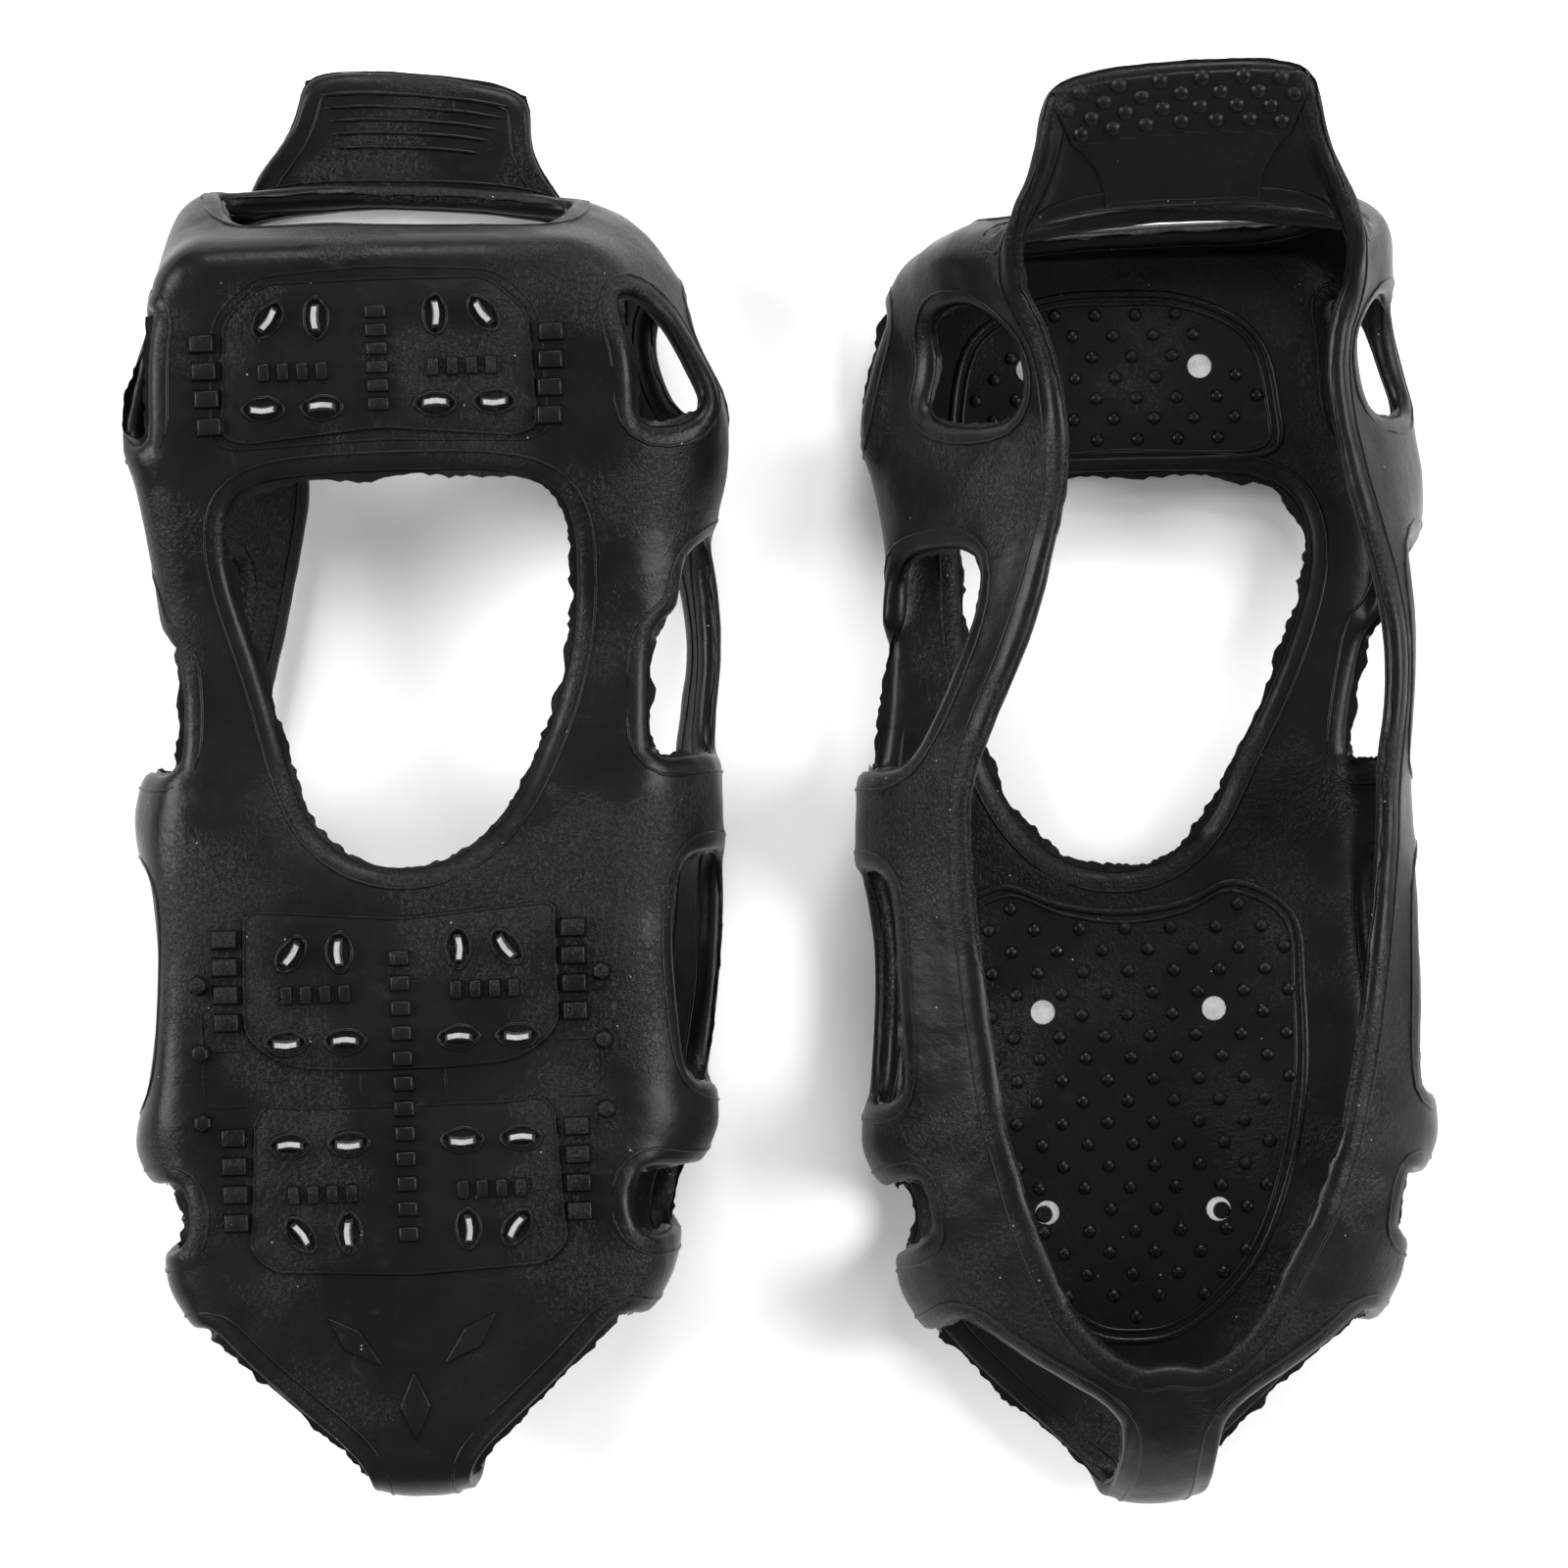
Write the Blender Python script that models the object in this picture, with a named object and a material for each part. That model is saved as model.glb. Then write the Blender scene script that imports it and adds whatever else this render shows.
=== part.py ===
"""A pair of slip-on shoe ice cleats.

Each cleat is one moulded rubber harness (sole, side arms and top rim), a heel strap that swings
about the two junctions at the back of the rim, and six stamped steel stud plates that sit inside
the sole with their four teeth standing out of its underside. The right cleat stands on its studs.
The left cleat lies on its rim with the studs up.

Cleat frame, in millimetres: X across, +Y to the heel, +Z up from the sole's underside.
World frame, in metres: the two cleats side by side, heels to +Y, on the plane Z = 0.
"""

import math

import bmesh
import bpy
from mathutils import Matrix, Vector

MM = 0.001

# Driving dimensions, in millimetres
SHEET = 3.6  # thickness of the moulded rubber
LIP_Z = 8.0  # top of the low wall between the arms
SHOULDER_Z = 19.0  # where the arms swell out furthest
HEEL_WALL_Z = 15.0
ARCH_RISE = 6.0  # how far the side rails rise above the pads
ARCH_SPAN = (-30.0, 66.0)  # the stretch along Y where they rise
HEEL_HALF = 36.0  # half width of the straight back edge
HEEL_Y = 100.5
PLATE = (16.4, 22.4, 1.0)  # stud plate: width, length, thickness
PLATE_CORNER = 3.0
TOOTH = (5.2, 3.4, 1.2)  # tooth: width at its root, width at its tip, thickness
TOOTH_TIP_Z = -4.2
HOLE_R = 2.3  # round hole above each plate
GAP = 0.3  # clearance round every embedded piece
HINGE = (95.0, 44.0)  # Y and Z of the line that the heel strap swings about
STRAP_ROOT_GAP = 1.1  # the strap's root stands this far off the rim
REST_Z = 46.0  # the crumpled root of the heel strap, on which an upturned cleat lies

# One line for each station along the right-hand side, from the toe to the heel:
# sole edge (x, y), lower rim edge (x, y), upper rim edge (x, y), outward swell of the wall,
# and the wall between this station and the next one.
STATIONS = [
    ((9.0, -129.0), (9.0, -117.0), (5.0, -107.5), 0.0, "notch"),
    ((13.3, -123.8), (14.5, -112.5), (9.0, -106.0), 0.0, "notch"),
    ((22.7, -115.8), (22.5, -108.0), (13.0, -103.0), 0.0, "notch"),
    ((31.5, -107.5), (31.0, -103.0), (17.0, -98.5), 0.0, "notch"),
    ((38.5, -99.5), (38.5, -96.5), (20.5, -92.0), 2.5, "arm"),
    ((43.5, -92.0), (42.5, -88.5), (23.5, -85.5), 4.5, "arm"),
    ((43.0, -86.0), (43.5, -83.0), (26.0, -80.0), 3.0, "notch"),
    ((40.5, -80.0), (44.0, -77.0), (28.0, -74.0), 0.0, "notch"),
    ((43.0, -72.5), (45.0, -71.0), (29.3, -69.0), 5.5, "arm"),
    ((46.0, -65.0), (46.5, -64.5), (31.0, -64.0), 9.0, "arm"),
    ((46.0, -58.0), (47.0, -58.0), (32.0, -58.0), 4.5, "window"),
    ((46.0, -45.0), (47.8, -45.0), (34.3, -45.0), 1.0, "window"),
    ((45.0, -29.0), (48.0, -29.0), (36.3, -29.0), 0.0, "window"),
    ((45.0, -14.5), (48.2, -14.5), (38.0, -14.5), 4.0, "arm"),
    ((44.7, -6.5), (47.4, -6.5), (38.5, -6.5), 7.0, "arm"),
    ((43.5, 3.0), (45.8, 3.0), (37.6, 3.0), 5.0, "notch"),
    ((43.0, 14.0), (42.5, 14.0), (35.5, 14.0), 1.0, "notch"),
    ((43.5, 29.0), (39.0, 29.0), (31.5, 29.0), 2.0, "window"),
    ((44.0, 42.0), (36.5, 46.0), (27.0, 46.0), 4.0, "arm"),
    ((44.0, 53.0), (35.5, 56.0), (24.5, 55.5), 9.0, "arm"),
    ((44.0, 64.0), (32.0, 66.0), (23.7, 65.0), 9.5, "double window"),
    ((44.3, 74.0), (29.5, 75.5), (24.0, 74.5), 6.5, "double window"),
    ((43.8, 84.0), (31.0, 84.5), (26.0, 83.5), 6.0, "double window"),
    ((42.0, 91.5), (39.5, 92.0), (31.0, 91.0), 6.0, "arm"),
    ((40.5, 97.0), (44.5, 99.5), (35.0, 97.5), 4.0, "arm"),
]
BACK = ((HEEL_HALF, HEEL_Y), (41.0, 106.5), (36.5, 102.5))  # the back corner's three points
INNER_SHARE = (0.0, 0.34, 0.68)  # inner columns of the sole, as shares of its half width
BACK_SHARE = (0.0, 0.42, 0.83, 1.0)  # columns along the back edge

# The arch opening's edge, by station: the inner points where the sole stops.
ARCH_FRONT, ARCH_BACK = 13, 20
ARCH_EDGE = {13: (16.5, -8.5), 14: (20.5, -1.5), 15: (23.7, 7.0), 16: (26.8, 16.5), 17: (29.9, 28.5),
             18: (32.0, 40.0), 19: (32.3, 49.5), 20: (28.5, 57.0)}
ARCH_ENDS = {13: ((0.0, -16.5), (9.5, -14.5)), 20: ((0.0, 58.5), (14.0, 58.5))}

# Heights of the rim's two edges along Y
RIM_LOWER_Z = ((-120, 35), (-95, 31), (-60, 32), (-15, 33), (20, 34), (50, 36), (75, 37), (90, 35), (107, 31))
RIM_UPPER_Z = ((-108, 40), (-85, 42), (-40, 43), (0, 44.5), (40, 45), (89, 45.5), (104, 42))

# The heel strap's lower and upper edge, from its root on the rim to the middle of the tab
STRAP_EDGES = [
    ((36.0, 100.0, 43.5), (31.5, 90.5, 46.5)),
    ((33.0, 104.5, 46.5), (33.5, 98.5, 52.0)),
    ((28.0, 106.5, 48.0), (32.0, 108.0, 56.5)),
    ((22.5, 107.3, 48.8), (26.5, 115.5, 60.0)),
    ((17.5, 107.6, 49.2), (24.8, 123.5, 62.0)),
    ((12.5, 107.8, 49.5), (24.0, 131.0, 63.5)),
    ((6.5, 107.9, 49.6), (12.5, 132.4, 64.2)),
    ((0.0, 107.9, 49.7), (0.0, 132.8, 64.4)),
]

# How each soft cleat has settled. Every list runs along the cleat as (y, millimetres): lean and
# splay move the rim sideways and outwards, bulge swells each wall outwards at half height, creep
# moves the sole sideways, hem moves each edge of the sole outwards, reach moves the rim's ends
# along Y, and cant slants the narrow heel band. The heel strap's flatten lays it down to the
# hinge line's height (0 stands free, 1 lies flat), and its length, narrowing and skew say how it
# has crumpled.
CLEATS = {
    "right": {
        "place": (64.2, 0.4), "turn": 1.3, "sole_up": False, "stretch": 1.01,
        "lean": ((-125, 8.0), (-95, 5.5), (-66, 7.5), (-37, 8.5), (0, 9.0), (28, 16.5), (56, 16.0),
                 (80, 13.5), (95, 12.5), (120, 12.0)),
        "splay": ((-110, 0.0), (-10, 0.0), (25, 2.0), (60, 1.5), (80, 1.0), (97, -1.5), (108, -1.5),
                  (120, 0.5)),
        "bulge": {1: ((-80, 0.8), (-60, 1.0), (-40, -0.5), (-5, -2.5), (20, 0.0), (60, 1.5), (75, 3.8),
                      (95, 0.5)),
                  -1: ((-95, -2.0), (-60, 0.5), (-35, 2.5), (-15, 1.5), (-5, 0.5), (30, 0.0), (55, -2.0),
                       (70, -5.5), (88, -5.5), (98, -2.5))},
        "creep": ((-30, 0.0), (-12, -2.2), (5, -2.2), (22, 1.0), (40, 3.4), (55, 2.2), (70, 0.0)),
        "hem": {1: ((55, 0.0), (68, -3.0), (90, -2.0), (100, 0.0)),
                -1: ((-10, 0.0), (8, 1.5), (22, 2.5), (50, 1.5), (68, 1.5), (90, 1.5), (100, 0.0))},
        "reach": ((95, 0.0), (108, -2.0)), "cant": 0.06,
        "flatten": 0.0, "length": 1.04, "narrowing": -0.5, "skew": 0.05,
    },
    "left": {
        "place": (-72.9, -0.6), "turn": 2.1, "sole_up": True, "stretch": 0.995,
        "lean": ((-125, -5.5), (-95, -6.0), (-66, -10.0), (-37, -13.3), (0, -13.0), (30, -18.3),
                 (50, -17.8), (64, -16.0), (93, -12.0), (108, -4.0), (125, -8.0)),
        "splay": ((-110, 0.0), (-92, -1.5), (-70, -1.5), (-45, 0.5), (0, 2.0), (30, 8.0), (56, 8.0),
                  (80, 7.5), (97, 2.0), (115, 0.0)),
        "bulge": {1: ((-95, 0.5), (-66, 2.2), (-50, -2.5), (-25, -2.5), (-5, 4.0), (20, 1.0), (56, -3.0),
                      (72, -5.5), (88, -5.0), (98, -2.0)),
                  -1: ((-95, 0.5), (-60, 1.5), (-30, 2.0), (-5, 0.8), (20, 2.0), (45, 3.5), (62, 8.0),
                       (90, 5.0), (100, 1.0))},
        "creep": ((-30, 0.0), (-12, -1.5), (5, -3.6), (20, -4.6), (45, -1.8), (62, 0.0)),
        "hem": {1: ((0, 0.0), (100, 0.0)), -1: ((60, 0.0), (72, 2.5), (90, 1.0), (98, 0.0))},
        "reach": ((95, 0.0), (108, 4.5)), "cant": 0.07,
        "flatten": 1.0, "length": 0.84, "narrowing": 4.0, "skew": 0.08,
    },
}

# Stud plates in the cleat frame: centre, the y of the round hole above it, and whether the
# slanted pair of teeth faces the heel
STUD_PLATES = [
    ((-16.2, 79.5), 78.4, True), ((16.2, 79.5), 78.4, True),
    ((-16.2, -39.3), -42.0, True), ((16.2, -39.3), -42.0, True),
    ((-16.2, -75.2), -79.6, False), ((16.2, -75.2), -79.6, False),
]
TEETH = ((3.9, 8.3, 35.0), (-5.1, 8.3, 0.0), (5.4, -8.3, 90.0), (-5.6, -8.3, 90.0))  # outward x, y, angle


def clear_scene():
    for item in list(bpy.data.objects):
        bpy.data.objects.remove(item, do_unlink=True)


def make_material(name, colour, roughness, metallic):
    material = bpy.data.materials.new(name)
    material.use_nodes = True
    shader = material.node_tree.nodes["Principled BSDF"]
    shader.inputs["Base Color"].default_value = (*colour, 1.0)
    shader.inputs["Roughness"].default_value = roughness
    shader.inputs["Metallic"].default_value = metallic
    return material


def along(keys, y):
    """The value at y of a smooth run of (y, value) keys."""
    if y <= keys[0][0]:
        return float(keys[0][1])
    for (y0, v0), (y1, v1) in zip(keys, keys[1:]):
        if y <= y1:
            t = (y - y0) / (y1 - y0)
            return v0 + (v1 - v0) * t * t * (3 - 2 * t)
    return float(keys[-1][1])


def arch_bump(y):
    """0 outside the arch, 1 in its middle."""
    low, high = ARCH_SPAN
    if not low < y < high:
        return 0.0
    return math.sin(math.pi * (y - low) / (high - low)) ** 2


def wall_profile(edge, lower, upper, swell, kind, outward):
    """Points up the wall from one sole edge point to the rim's upper edge."""
    edge, lower, upper = Vector(edge), Vector(lower), Vector(upper)
    lip = edge + outward * (0.6 + swell * (0.9 if kind == "double window" else 0.5))
    shoulder = (edge + lower) / 2 + outward * swell
    return [
        (*lip, LIP_Z),
        (*shoulder, SHOULDER_Z),
        (*lower, along(RIM_LOWER_Z, lower.y)),
        (*upper, along(RIM_UPPER_Z, upper.y)),
    ]


def side_outward(i):
    """The outward direction at station i, square to the rim's lower edge."""
    before = Vector(STATIONS[max(i - 1, 0)][1])
    after = Vector(STATIONS[i + 1][1] if i + 1 < len(STATIONS) else BACK[1])
    along_rim = after - before
    return Vector((along_rim.y, -along_rim.x)).normalized()


def sole_row(i):
    """The right half of one row of the sole: its four columns from the middle out."""
    edge = STATIONS[i][0]
    row = [(edge[0] * share, edge[1]) for share in INNER_SHARE] + [edge]
    if i in ARCH_EDGE:
        row[2] = ARCH_EDGE[i]
    if i in ARCH_ENDS:
        row[0], row[1] = ARCH_ENDS[i]
    return row


def toe_profile(x):
    """The single arm at the toe, which curls up and back to the rim."""
    share = x / STATIONS[0][0][0]
    lower, upper = STATIONS[0][1], STATIONS[0][2]
    back = 2.2 * share**4
    return [(x * 0.96, -133.2 + back, LIP_Z), (x, -131.0 + back, 21.0), (lower[0] * share, lower[1], 35.0),
            (upper[0] * share, upper[1] + 0.8 * (1 - share**2), 40.0)]


def heel_profile(share):
    """The back of the heel: a low wall, a slot and the narrow band."""
    crown = 1 - share**2
    return [
        (36.5 * share, 102.3 + crown, HEEL_WALL_Z * (1 - 0.25 * share**4)),
        (38.5 * share, 106.5 + crown, 23.0),
        (BACK[1][0] * share, BACK[1][1] + 2.5 * crown, 31.0),
        (BACK[2][0] * share, BACK[2][1] + 5.0 * crown, 42.0 - 4.0 * crown),
    ]


class Cage:
    """A sheet of quads whose points are found by name."""

    def __init__(self):
        self.points, self.faces = {}, []

    def put(self, name, point):
        self.points[name] = Vector(point)

    def quad(self, *names):
        self.faces.append(names)

    def to_bmesh(self, settle):
        bm = bmesh.new()
        used = {}
        for face in self.faces:
            for name in face:
                if name not in used:
                    used[name] = bm.verts.new(settle(self.points[name]) * MM)
            bm.faces.new([used[name] for name in face])
        return bm


def harness_cage():
    """The harness in the cleat frame as one open sheet, half a thickness inside each surface."""
    cage = Cage()
    rows = len(STATIONS)
    half = SHEET / 2
    columns = range(-3, 4)
    for i in range(rows + 1):
        right = sole_row(i) if i < rows else [(HEEL_HALF * s, HEEL_Y + 1.0 - s**2) for s in BACK_SHARE]
        for c in columns:
            x, y = right[abs(c)]
            cage.put((i, c, 0), (math.copysign(x, c), y, half))
    for i in range(rows):
        for c in range(-3, 3):
            if ARCH_FRONT <= i < ARCH_BACK and -2 <= c < 2:
                continue
            cage.quad((i, c, 0), (i, c + 1, 0), (i + 1, c + 1, 0), (i + 1, c, 0))

    # Walls stand on the ring of edge points: toe row, right side, back row, left side.
    ring = [(0, c) for c in columns] + [(i, 3) for i in range(1, rows)]
    ring += [(rows, c) for c in reversed(columns)] + [(i, -3) for i in range(rows - 1, 0, -1)]
    kinds = []
    for i, c in ring:
        side = -1 if c < 0 else 1
        if i == 0:
            profile = toe_profile(math.copysign(STATIONS[0][0][0] * (*INNER_SHARE, 1.0)[abs(c)], c))
        elif i == rows:
            profile = heel_profile(math.copysign(BACK_SHARE[abs(c)], c))
        else:
            profile = [(x * side, y, z) for x, y, z in wall_profile(*STATIONS[i], side_outward(i))]
        for level, point in enumerate(profile, 1):
            cage.put((i, c, level), point)
    for k, (i, c) in enumerate(ring):
        j, d = ring[(k + 1) % len(ring)]
        if i == j == 0:
            kinds.append("arm")
        elif i == j == rows:
            kinds.append("arm" if abs(c) == 3 or abs(d) == 3 else "window")
        else:
            kinds.append(STATIONS[min(i, j)][4])
    present = {"arm": (0, 1, 2, 3), "window": (0, 3), "double window": (1, 3), "notch": (3,)}
    for k, (i, c) in enumerate(ring):
        j, d = ring[(k + 1) % len(ring)]
        for level in present[kinds[k]]:
            cage.quad((i, c, level), (i, c, level + 1), (j, d, level + 1), (j, d, level))
    return cage


def strap_cage(pose):
    """The heel strap as one open sheet: a wide tab on two twisted legs."""
    cage = Cage()
    count = len(STRAP_EDGES)
    for side in (-1, 1):
        for k, (lower, upper) in enumerate(STRAP_EDGES):
            for level, share in enumerate((0.0, 0.5, 1.0)):
                x, y, z = Vector(lower).lerp(Vector(upper), share)
                bow = 1.5 * math.sin(math.pi * share) * min(k, 3) / 3
                point = Vector((side * x, y + bow, z - bow))
                cage.put((side * (count - 1 - k), level), settle_strap(point, pose) if k else point)
    for k in range(1 - count, count - 1):
        for level in (0, 1):
            cage.quad((k, level), (k, level + 1), (k + 1, level + 1), (k + 1, level))
    return cage


def settle_point(point, pose):
    """Moves a point of the free shape to where the soft cleat has settled."""
    x, y, z = point
    rim = min(z / RIM_UPPER_Z[-2][1], 1.0)
    arch = arch_bump(y) * max(0.0, 1 - rim)
    side = max(-1.0, min(1.0, x / 20))
    right = 1 if x > 0 else -1
    across = along(pose["lean"], y) * rim + along(pose["creep"], y) * (1 - rim)
    outwards = along(pose["splay"], y) * rim + along(pose["hem"][right], y) * (1 - rim)
    outwards += along(pose["bulge"][right], y) * math.sin(math.pi * rim)
    cant = pose["cant"] * x * max(0.0, min(1.0, (y - 98) / 6)) * math.sin(math.pi * rim)
    long_y = 80 + (y - 80) * pose["stretch"] + along(pose["reach"], y) * rim + cant
    return Vector((x + across + outwards * side, long_y, z + ARCH_RISE * arch))


def settle_strap(point, pose):
    """Lays a strap point down towards the hinge line's height and crumples it."""
    x, dy, dz = point.x, point.y - HINGE[0], point.z - HINGE[1]
    out = math.hypot(dy, dz) * (pose["length"] + pose["skew"] * x / HEEL_HALF)
    angle = math.atan2(dz, dy) * (1 - pose["flatten"])
    x *= 1 - pose["narrowing"] / HEEL_HALF
    return Vector((x, HINGE[0] + out * math.cos(angle), HINGE[1] + out * math.sin(angle)))


def new_object(name, bm, parent, material=None):
    bmesh.ops.recalc_face_normals(bm, faces=bm.faces)
    mesh = bpy.data.meshes.new(name)
    bm.to_mesh(mesh)
    bm.free()
    item = bpy.data.objects.new(name, mesh)
    bpy.context.scene.collection.objects.link(item)
    item.parent = parent
    if material:
        mesh.materials.append(material)
    return item


def new_empty(name, parent=None):
    item = bpy.data.objects.new(name, None)
    bpy.context.scene.collection.objects.link(item)
    item.parent = parent
    return item


def thicken(item):
    """Gives a sheet its thickness and rounds it."""
    solid = item.modifiers.new("thickness", "SOLIDIFY")
    solid.thickness = SHEET * MM
    solid.offset = 0.0
    smooth = item.modifiers.new("smooth", "SUBSURF")
    smooth.levels = smooth.render_levels = 1


def add_box(bm, size, centre, turn=0.0):
    """A box turned about Z, all in millimetres."""
    matrix = Matrix.Translation(Vector(centre) * MM) @ Matrix.Rotation(turn, 4, "Z")
    bmesh.ops.create_cube(bm, size=1.0, matrix=matrix @ Matrix.Diagonal((*[s * MM for s in size], 1.0)))


def add_tooth(bm, x, y, top, turn):
    """A tapered tooth from the plate down to its tip."""
    root, tip, thick = TOOTH
    ring = []
    for z, width in ((top, root), (TOOTH_TIP_Z, tip)):
        for u, v in ((-1, -1), (1, -1), (1, 1), (-1, 1)):
            place = Vector((u * thick / 2, v * width / 2, 0))
            place.rotate(Matrix.Rotation(turn, 3, "Z"))
            ring.append(bm.verts.new(Vector((x + place.x, y + place.y, z)) * MM))
    top_face, bottom_face = ring[:4], ring[4:]
    bm.faces.new(top_face)
    bm.faces.new(bottom_face[::-1])
    for k in range(4):
        n = (k + 1) % 4
        bm.faces.new((top_face[n], top_face[k], bottom_face[k], bottom_face[n]))


def plate_spots(pose):
    """Where the six plates go: centre, the hole's y, then each tooth's x, y and angle."""
    for (x, y), hole_y, slant_to_heel in STUD_PLATES:
        side, flip = math.copysign(1, x), 1 if slant_to_heel else -1
        y, hole_y = (80 + (v - 80) * pose["stretch"] for v in (y, hole_y))
        teeth = [(x + side * dx, y + flip * dy, math.radians(side * flip * turn)) for dx, dy, turn in TEETH]
        yield (x, y), hole_y, teeth


def make_cutters(side, frame, pose):
    """The pockets, slits and round holes that the plates leave in the sole."""
    pockets, slits, holes = bmesh.new(), bmesh.new(), bmesh.new()
    middle = SHEET / 2
    for (x, y), hole_y, teeth in plate_spots(pose):
        add_box(pockets, [s + 2 * GAP for s in PLATE], (x, y, middle))
        for tx, ty, turn in teeth:
            slit = (TOOTH[2] + 2 * GAP, TOOTH[0] + 2 * GAP, middle + 2.0)
            add_box(slits, slit, (tx, ty, (middle - 2.0) / 2), turn)
        matrix = Matrix.Translation(Vector((x, hole_y, middle + 2.0)) * MM)
        bmesh.ops.create_cone(holes, cap_ends=True, segments=16, radius1=HOLE_R * MM, radius2=HOLE_R * MM,
                              depth=4.0 * MM, matrix=matrix)
    cutters = []
    for name, bm in (("pockets", pockets), ("slits", slits), ("holes", holes)):
        cutter = new_object(f"{side}_{name}", bm, frame)
        cutter.hide_render = True
        cutter.display_type = "WIRE"
        cutters.append(cutter)
    return cutters


def make_harness(side, frame, pose, rubber):
    bm = harness_cage().to_bmesh(lambda p: settle_point(p, pose))
    harness = new_object(f"{side}_harness", bm, frame, rubber)
    thicken(harness)
    for cutter in make_cutters(side, frame, pose):
        cut = harness.modifiers.new(cutter.name, "BOOLEAN")
        cut.operation, cut.solver, cut.object = "DIFFERENCE", "EXACT", cutter


def make_strap(side, frame, pose, rubber):
    """The strap's origin is on its hinge line."""
    hinge = new_empty(f"{side}_heel_hinge", frame)
    hinge.location = settle_point(Vector((0.0, *HINGE)), pose) * MM
    cage = strap_cage(pose)
    last = len(STRAP_EDGES) - 1
    for end in (-1, 1):
        for level in range(3):
            root, after = cage.points[(end * last, level)], cage.points[(end * (last - 1), level)]
            cage.put((end * last, level), root + (after - root).normalized() * STRAP_ROOT_GAP)
    bm = cage.to_bmesh(lambda p: settle_point(p, pose))
    bmesh.ops.translate(bm, verts=bm.verts, vec=-hinge.location)
    thicken(new_object(f"{side}_heel_strap", bm, hinge, rubber))


def make_stud_plates(side, frame, pose, steel):
    middle = SHEET / 2
    for number, ((x, y), _, teeth) in enumerate(plate_spots(pose), 1):
        plate, prongs = bmesh.new(), bmesh.new()
        add_box(plate, PLATE, (x, y, middle))
        upright = [e for e in plate.edges if abs(e.verts[0].co.z - e.verts[1].co.z) > PLATE[2] * MM / 2]
        bmesh.ops.bevel(plate, geom=upright, offset=PLATE_CORNER * MM, segments=3, affect="EDGES",
                        profile=0.5)
        for tx, ty, turn in teeth:
            add_tooth(prongs, tx, ty, middle, turn)
        name = f"{side}_stud_plate_{number}"
        teeth_object = new_object(f"{name}_teeth", prongs, frame)
        teeth_object.hide_render = True
        teeth_object.display_type = "WIRE"
        item = new_object(name, plate, frame, steel)
        joined = item.modifiers.new("teeth", "BOOLEAN")
        joined.operation, joined.solver, joined.object = "UNION", "EXACT", teeth_object


def make_cleat(side, pose):
    rubber = make_material(f"{side}_rubber", (0.012, 0.012, 0.013), 0.45, 0.0)
    steel = make_material(f"{side}_steel", (0.72, 0.72, 0.74), 0.28, 1.0)
    frame = new_empty(f"{side}_cleat")
    x, y = pose["place"]
    height = REST_Z if pose["sole_up"] else -TOOTH_TIP_Z
    frame.location = Vector((x, y, height)) * MM
    frame.rotation_euler = (0.0, math.pi if pose["sole_up"] else 0.0, math.radians(pose["turn"]))
    make_harness(side, frame, pose, rubber)
    make_strap(side, frame, pose, rubber)
    make_stud_plates(side, frame, pose, steel)


clear_scene()
for cleat_side, cleat_pose in CLEATS.items():
    make_cleat(cleat_side, cleat_pose)
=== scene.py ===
"""Visual model of a pair of slip-on shoe ice cleats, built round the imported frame.

The right cleat stands on its studs; the left one lies on its rim with the studs up. All shapes
are worked out in the cleat frame in millimetres (X across, +Y to the heel, +Z up from the sole's
underside) and then placed in the world frame in metres.
"""

import math

import bmesh
import bpy
from mathutils import Matrix, Vector, noise
from mathutils.bvhtree import BVHTree


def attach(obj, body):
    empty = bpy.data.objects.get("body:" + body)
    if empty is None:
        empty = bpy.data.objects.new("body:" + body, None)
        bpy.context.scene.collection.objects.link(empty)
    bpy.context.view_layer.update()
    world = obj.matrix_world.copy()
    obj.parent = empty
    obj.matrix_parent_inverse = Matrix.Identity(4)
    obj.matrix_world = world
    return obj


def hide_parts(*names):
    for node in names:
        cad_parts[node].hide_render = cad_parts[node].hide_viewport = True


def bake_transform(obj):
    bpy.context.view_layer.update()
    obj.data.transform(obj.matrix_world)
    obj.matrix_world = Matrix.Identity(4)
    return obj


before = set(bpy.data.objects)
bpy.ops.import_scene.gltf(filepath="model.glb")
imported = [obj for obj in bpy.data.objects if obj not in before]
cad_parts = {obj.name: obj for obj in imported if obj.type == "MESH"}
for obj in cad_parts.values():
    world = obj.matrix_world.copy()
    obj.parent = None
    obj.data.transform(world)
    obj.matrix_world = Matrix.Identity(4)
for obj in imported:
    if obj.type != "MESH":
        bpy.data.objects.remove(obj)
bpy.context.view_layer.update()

MM = 0.001

# Driving dimensions, in millimetres
SHEET = 3.6  # thickness of the moulded rubber
LIP_Z = 8.0  # top of the low wall between the arms
SHOULDER_Z = 19.0  # where the arms swell out furthest
HEEL_WALL_Z = 15.0
ARCH_RISE = 6.0  # how far the side rails rise above the pads
ARCH_SPAN = (-30.0, 66.0)  # the stretch along Y where they rise
HEEL_HALF = 36.0  # half width of the straight back edge
HEEL_Y = 100.5
PLATE = (16.4, 22.4, 1.0)  # stud plate: width, length, thickness
PLATE_CORNER = 3.0
TOOTH = (5.2, 3.4, 1.2)  # tooth: width at its root, width at its tip, thickness
TOOTH_TIP_Z = -4.2
HOLE_R = 2.3  # round hole above each plate
GAP = 0.3  # clearance round every embedded piece
HINGE = (95.0, 44.0)  # Y and Z of the line that the heel strap swings about
STRAP_ROOT_GAP = 1.1  # the strap's root stands this far off the rim
REST_Z = 46.0  # the crumpled root of the heel strap, on which an upturned cleat lies

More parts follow.
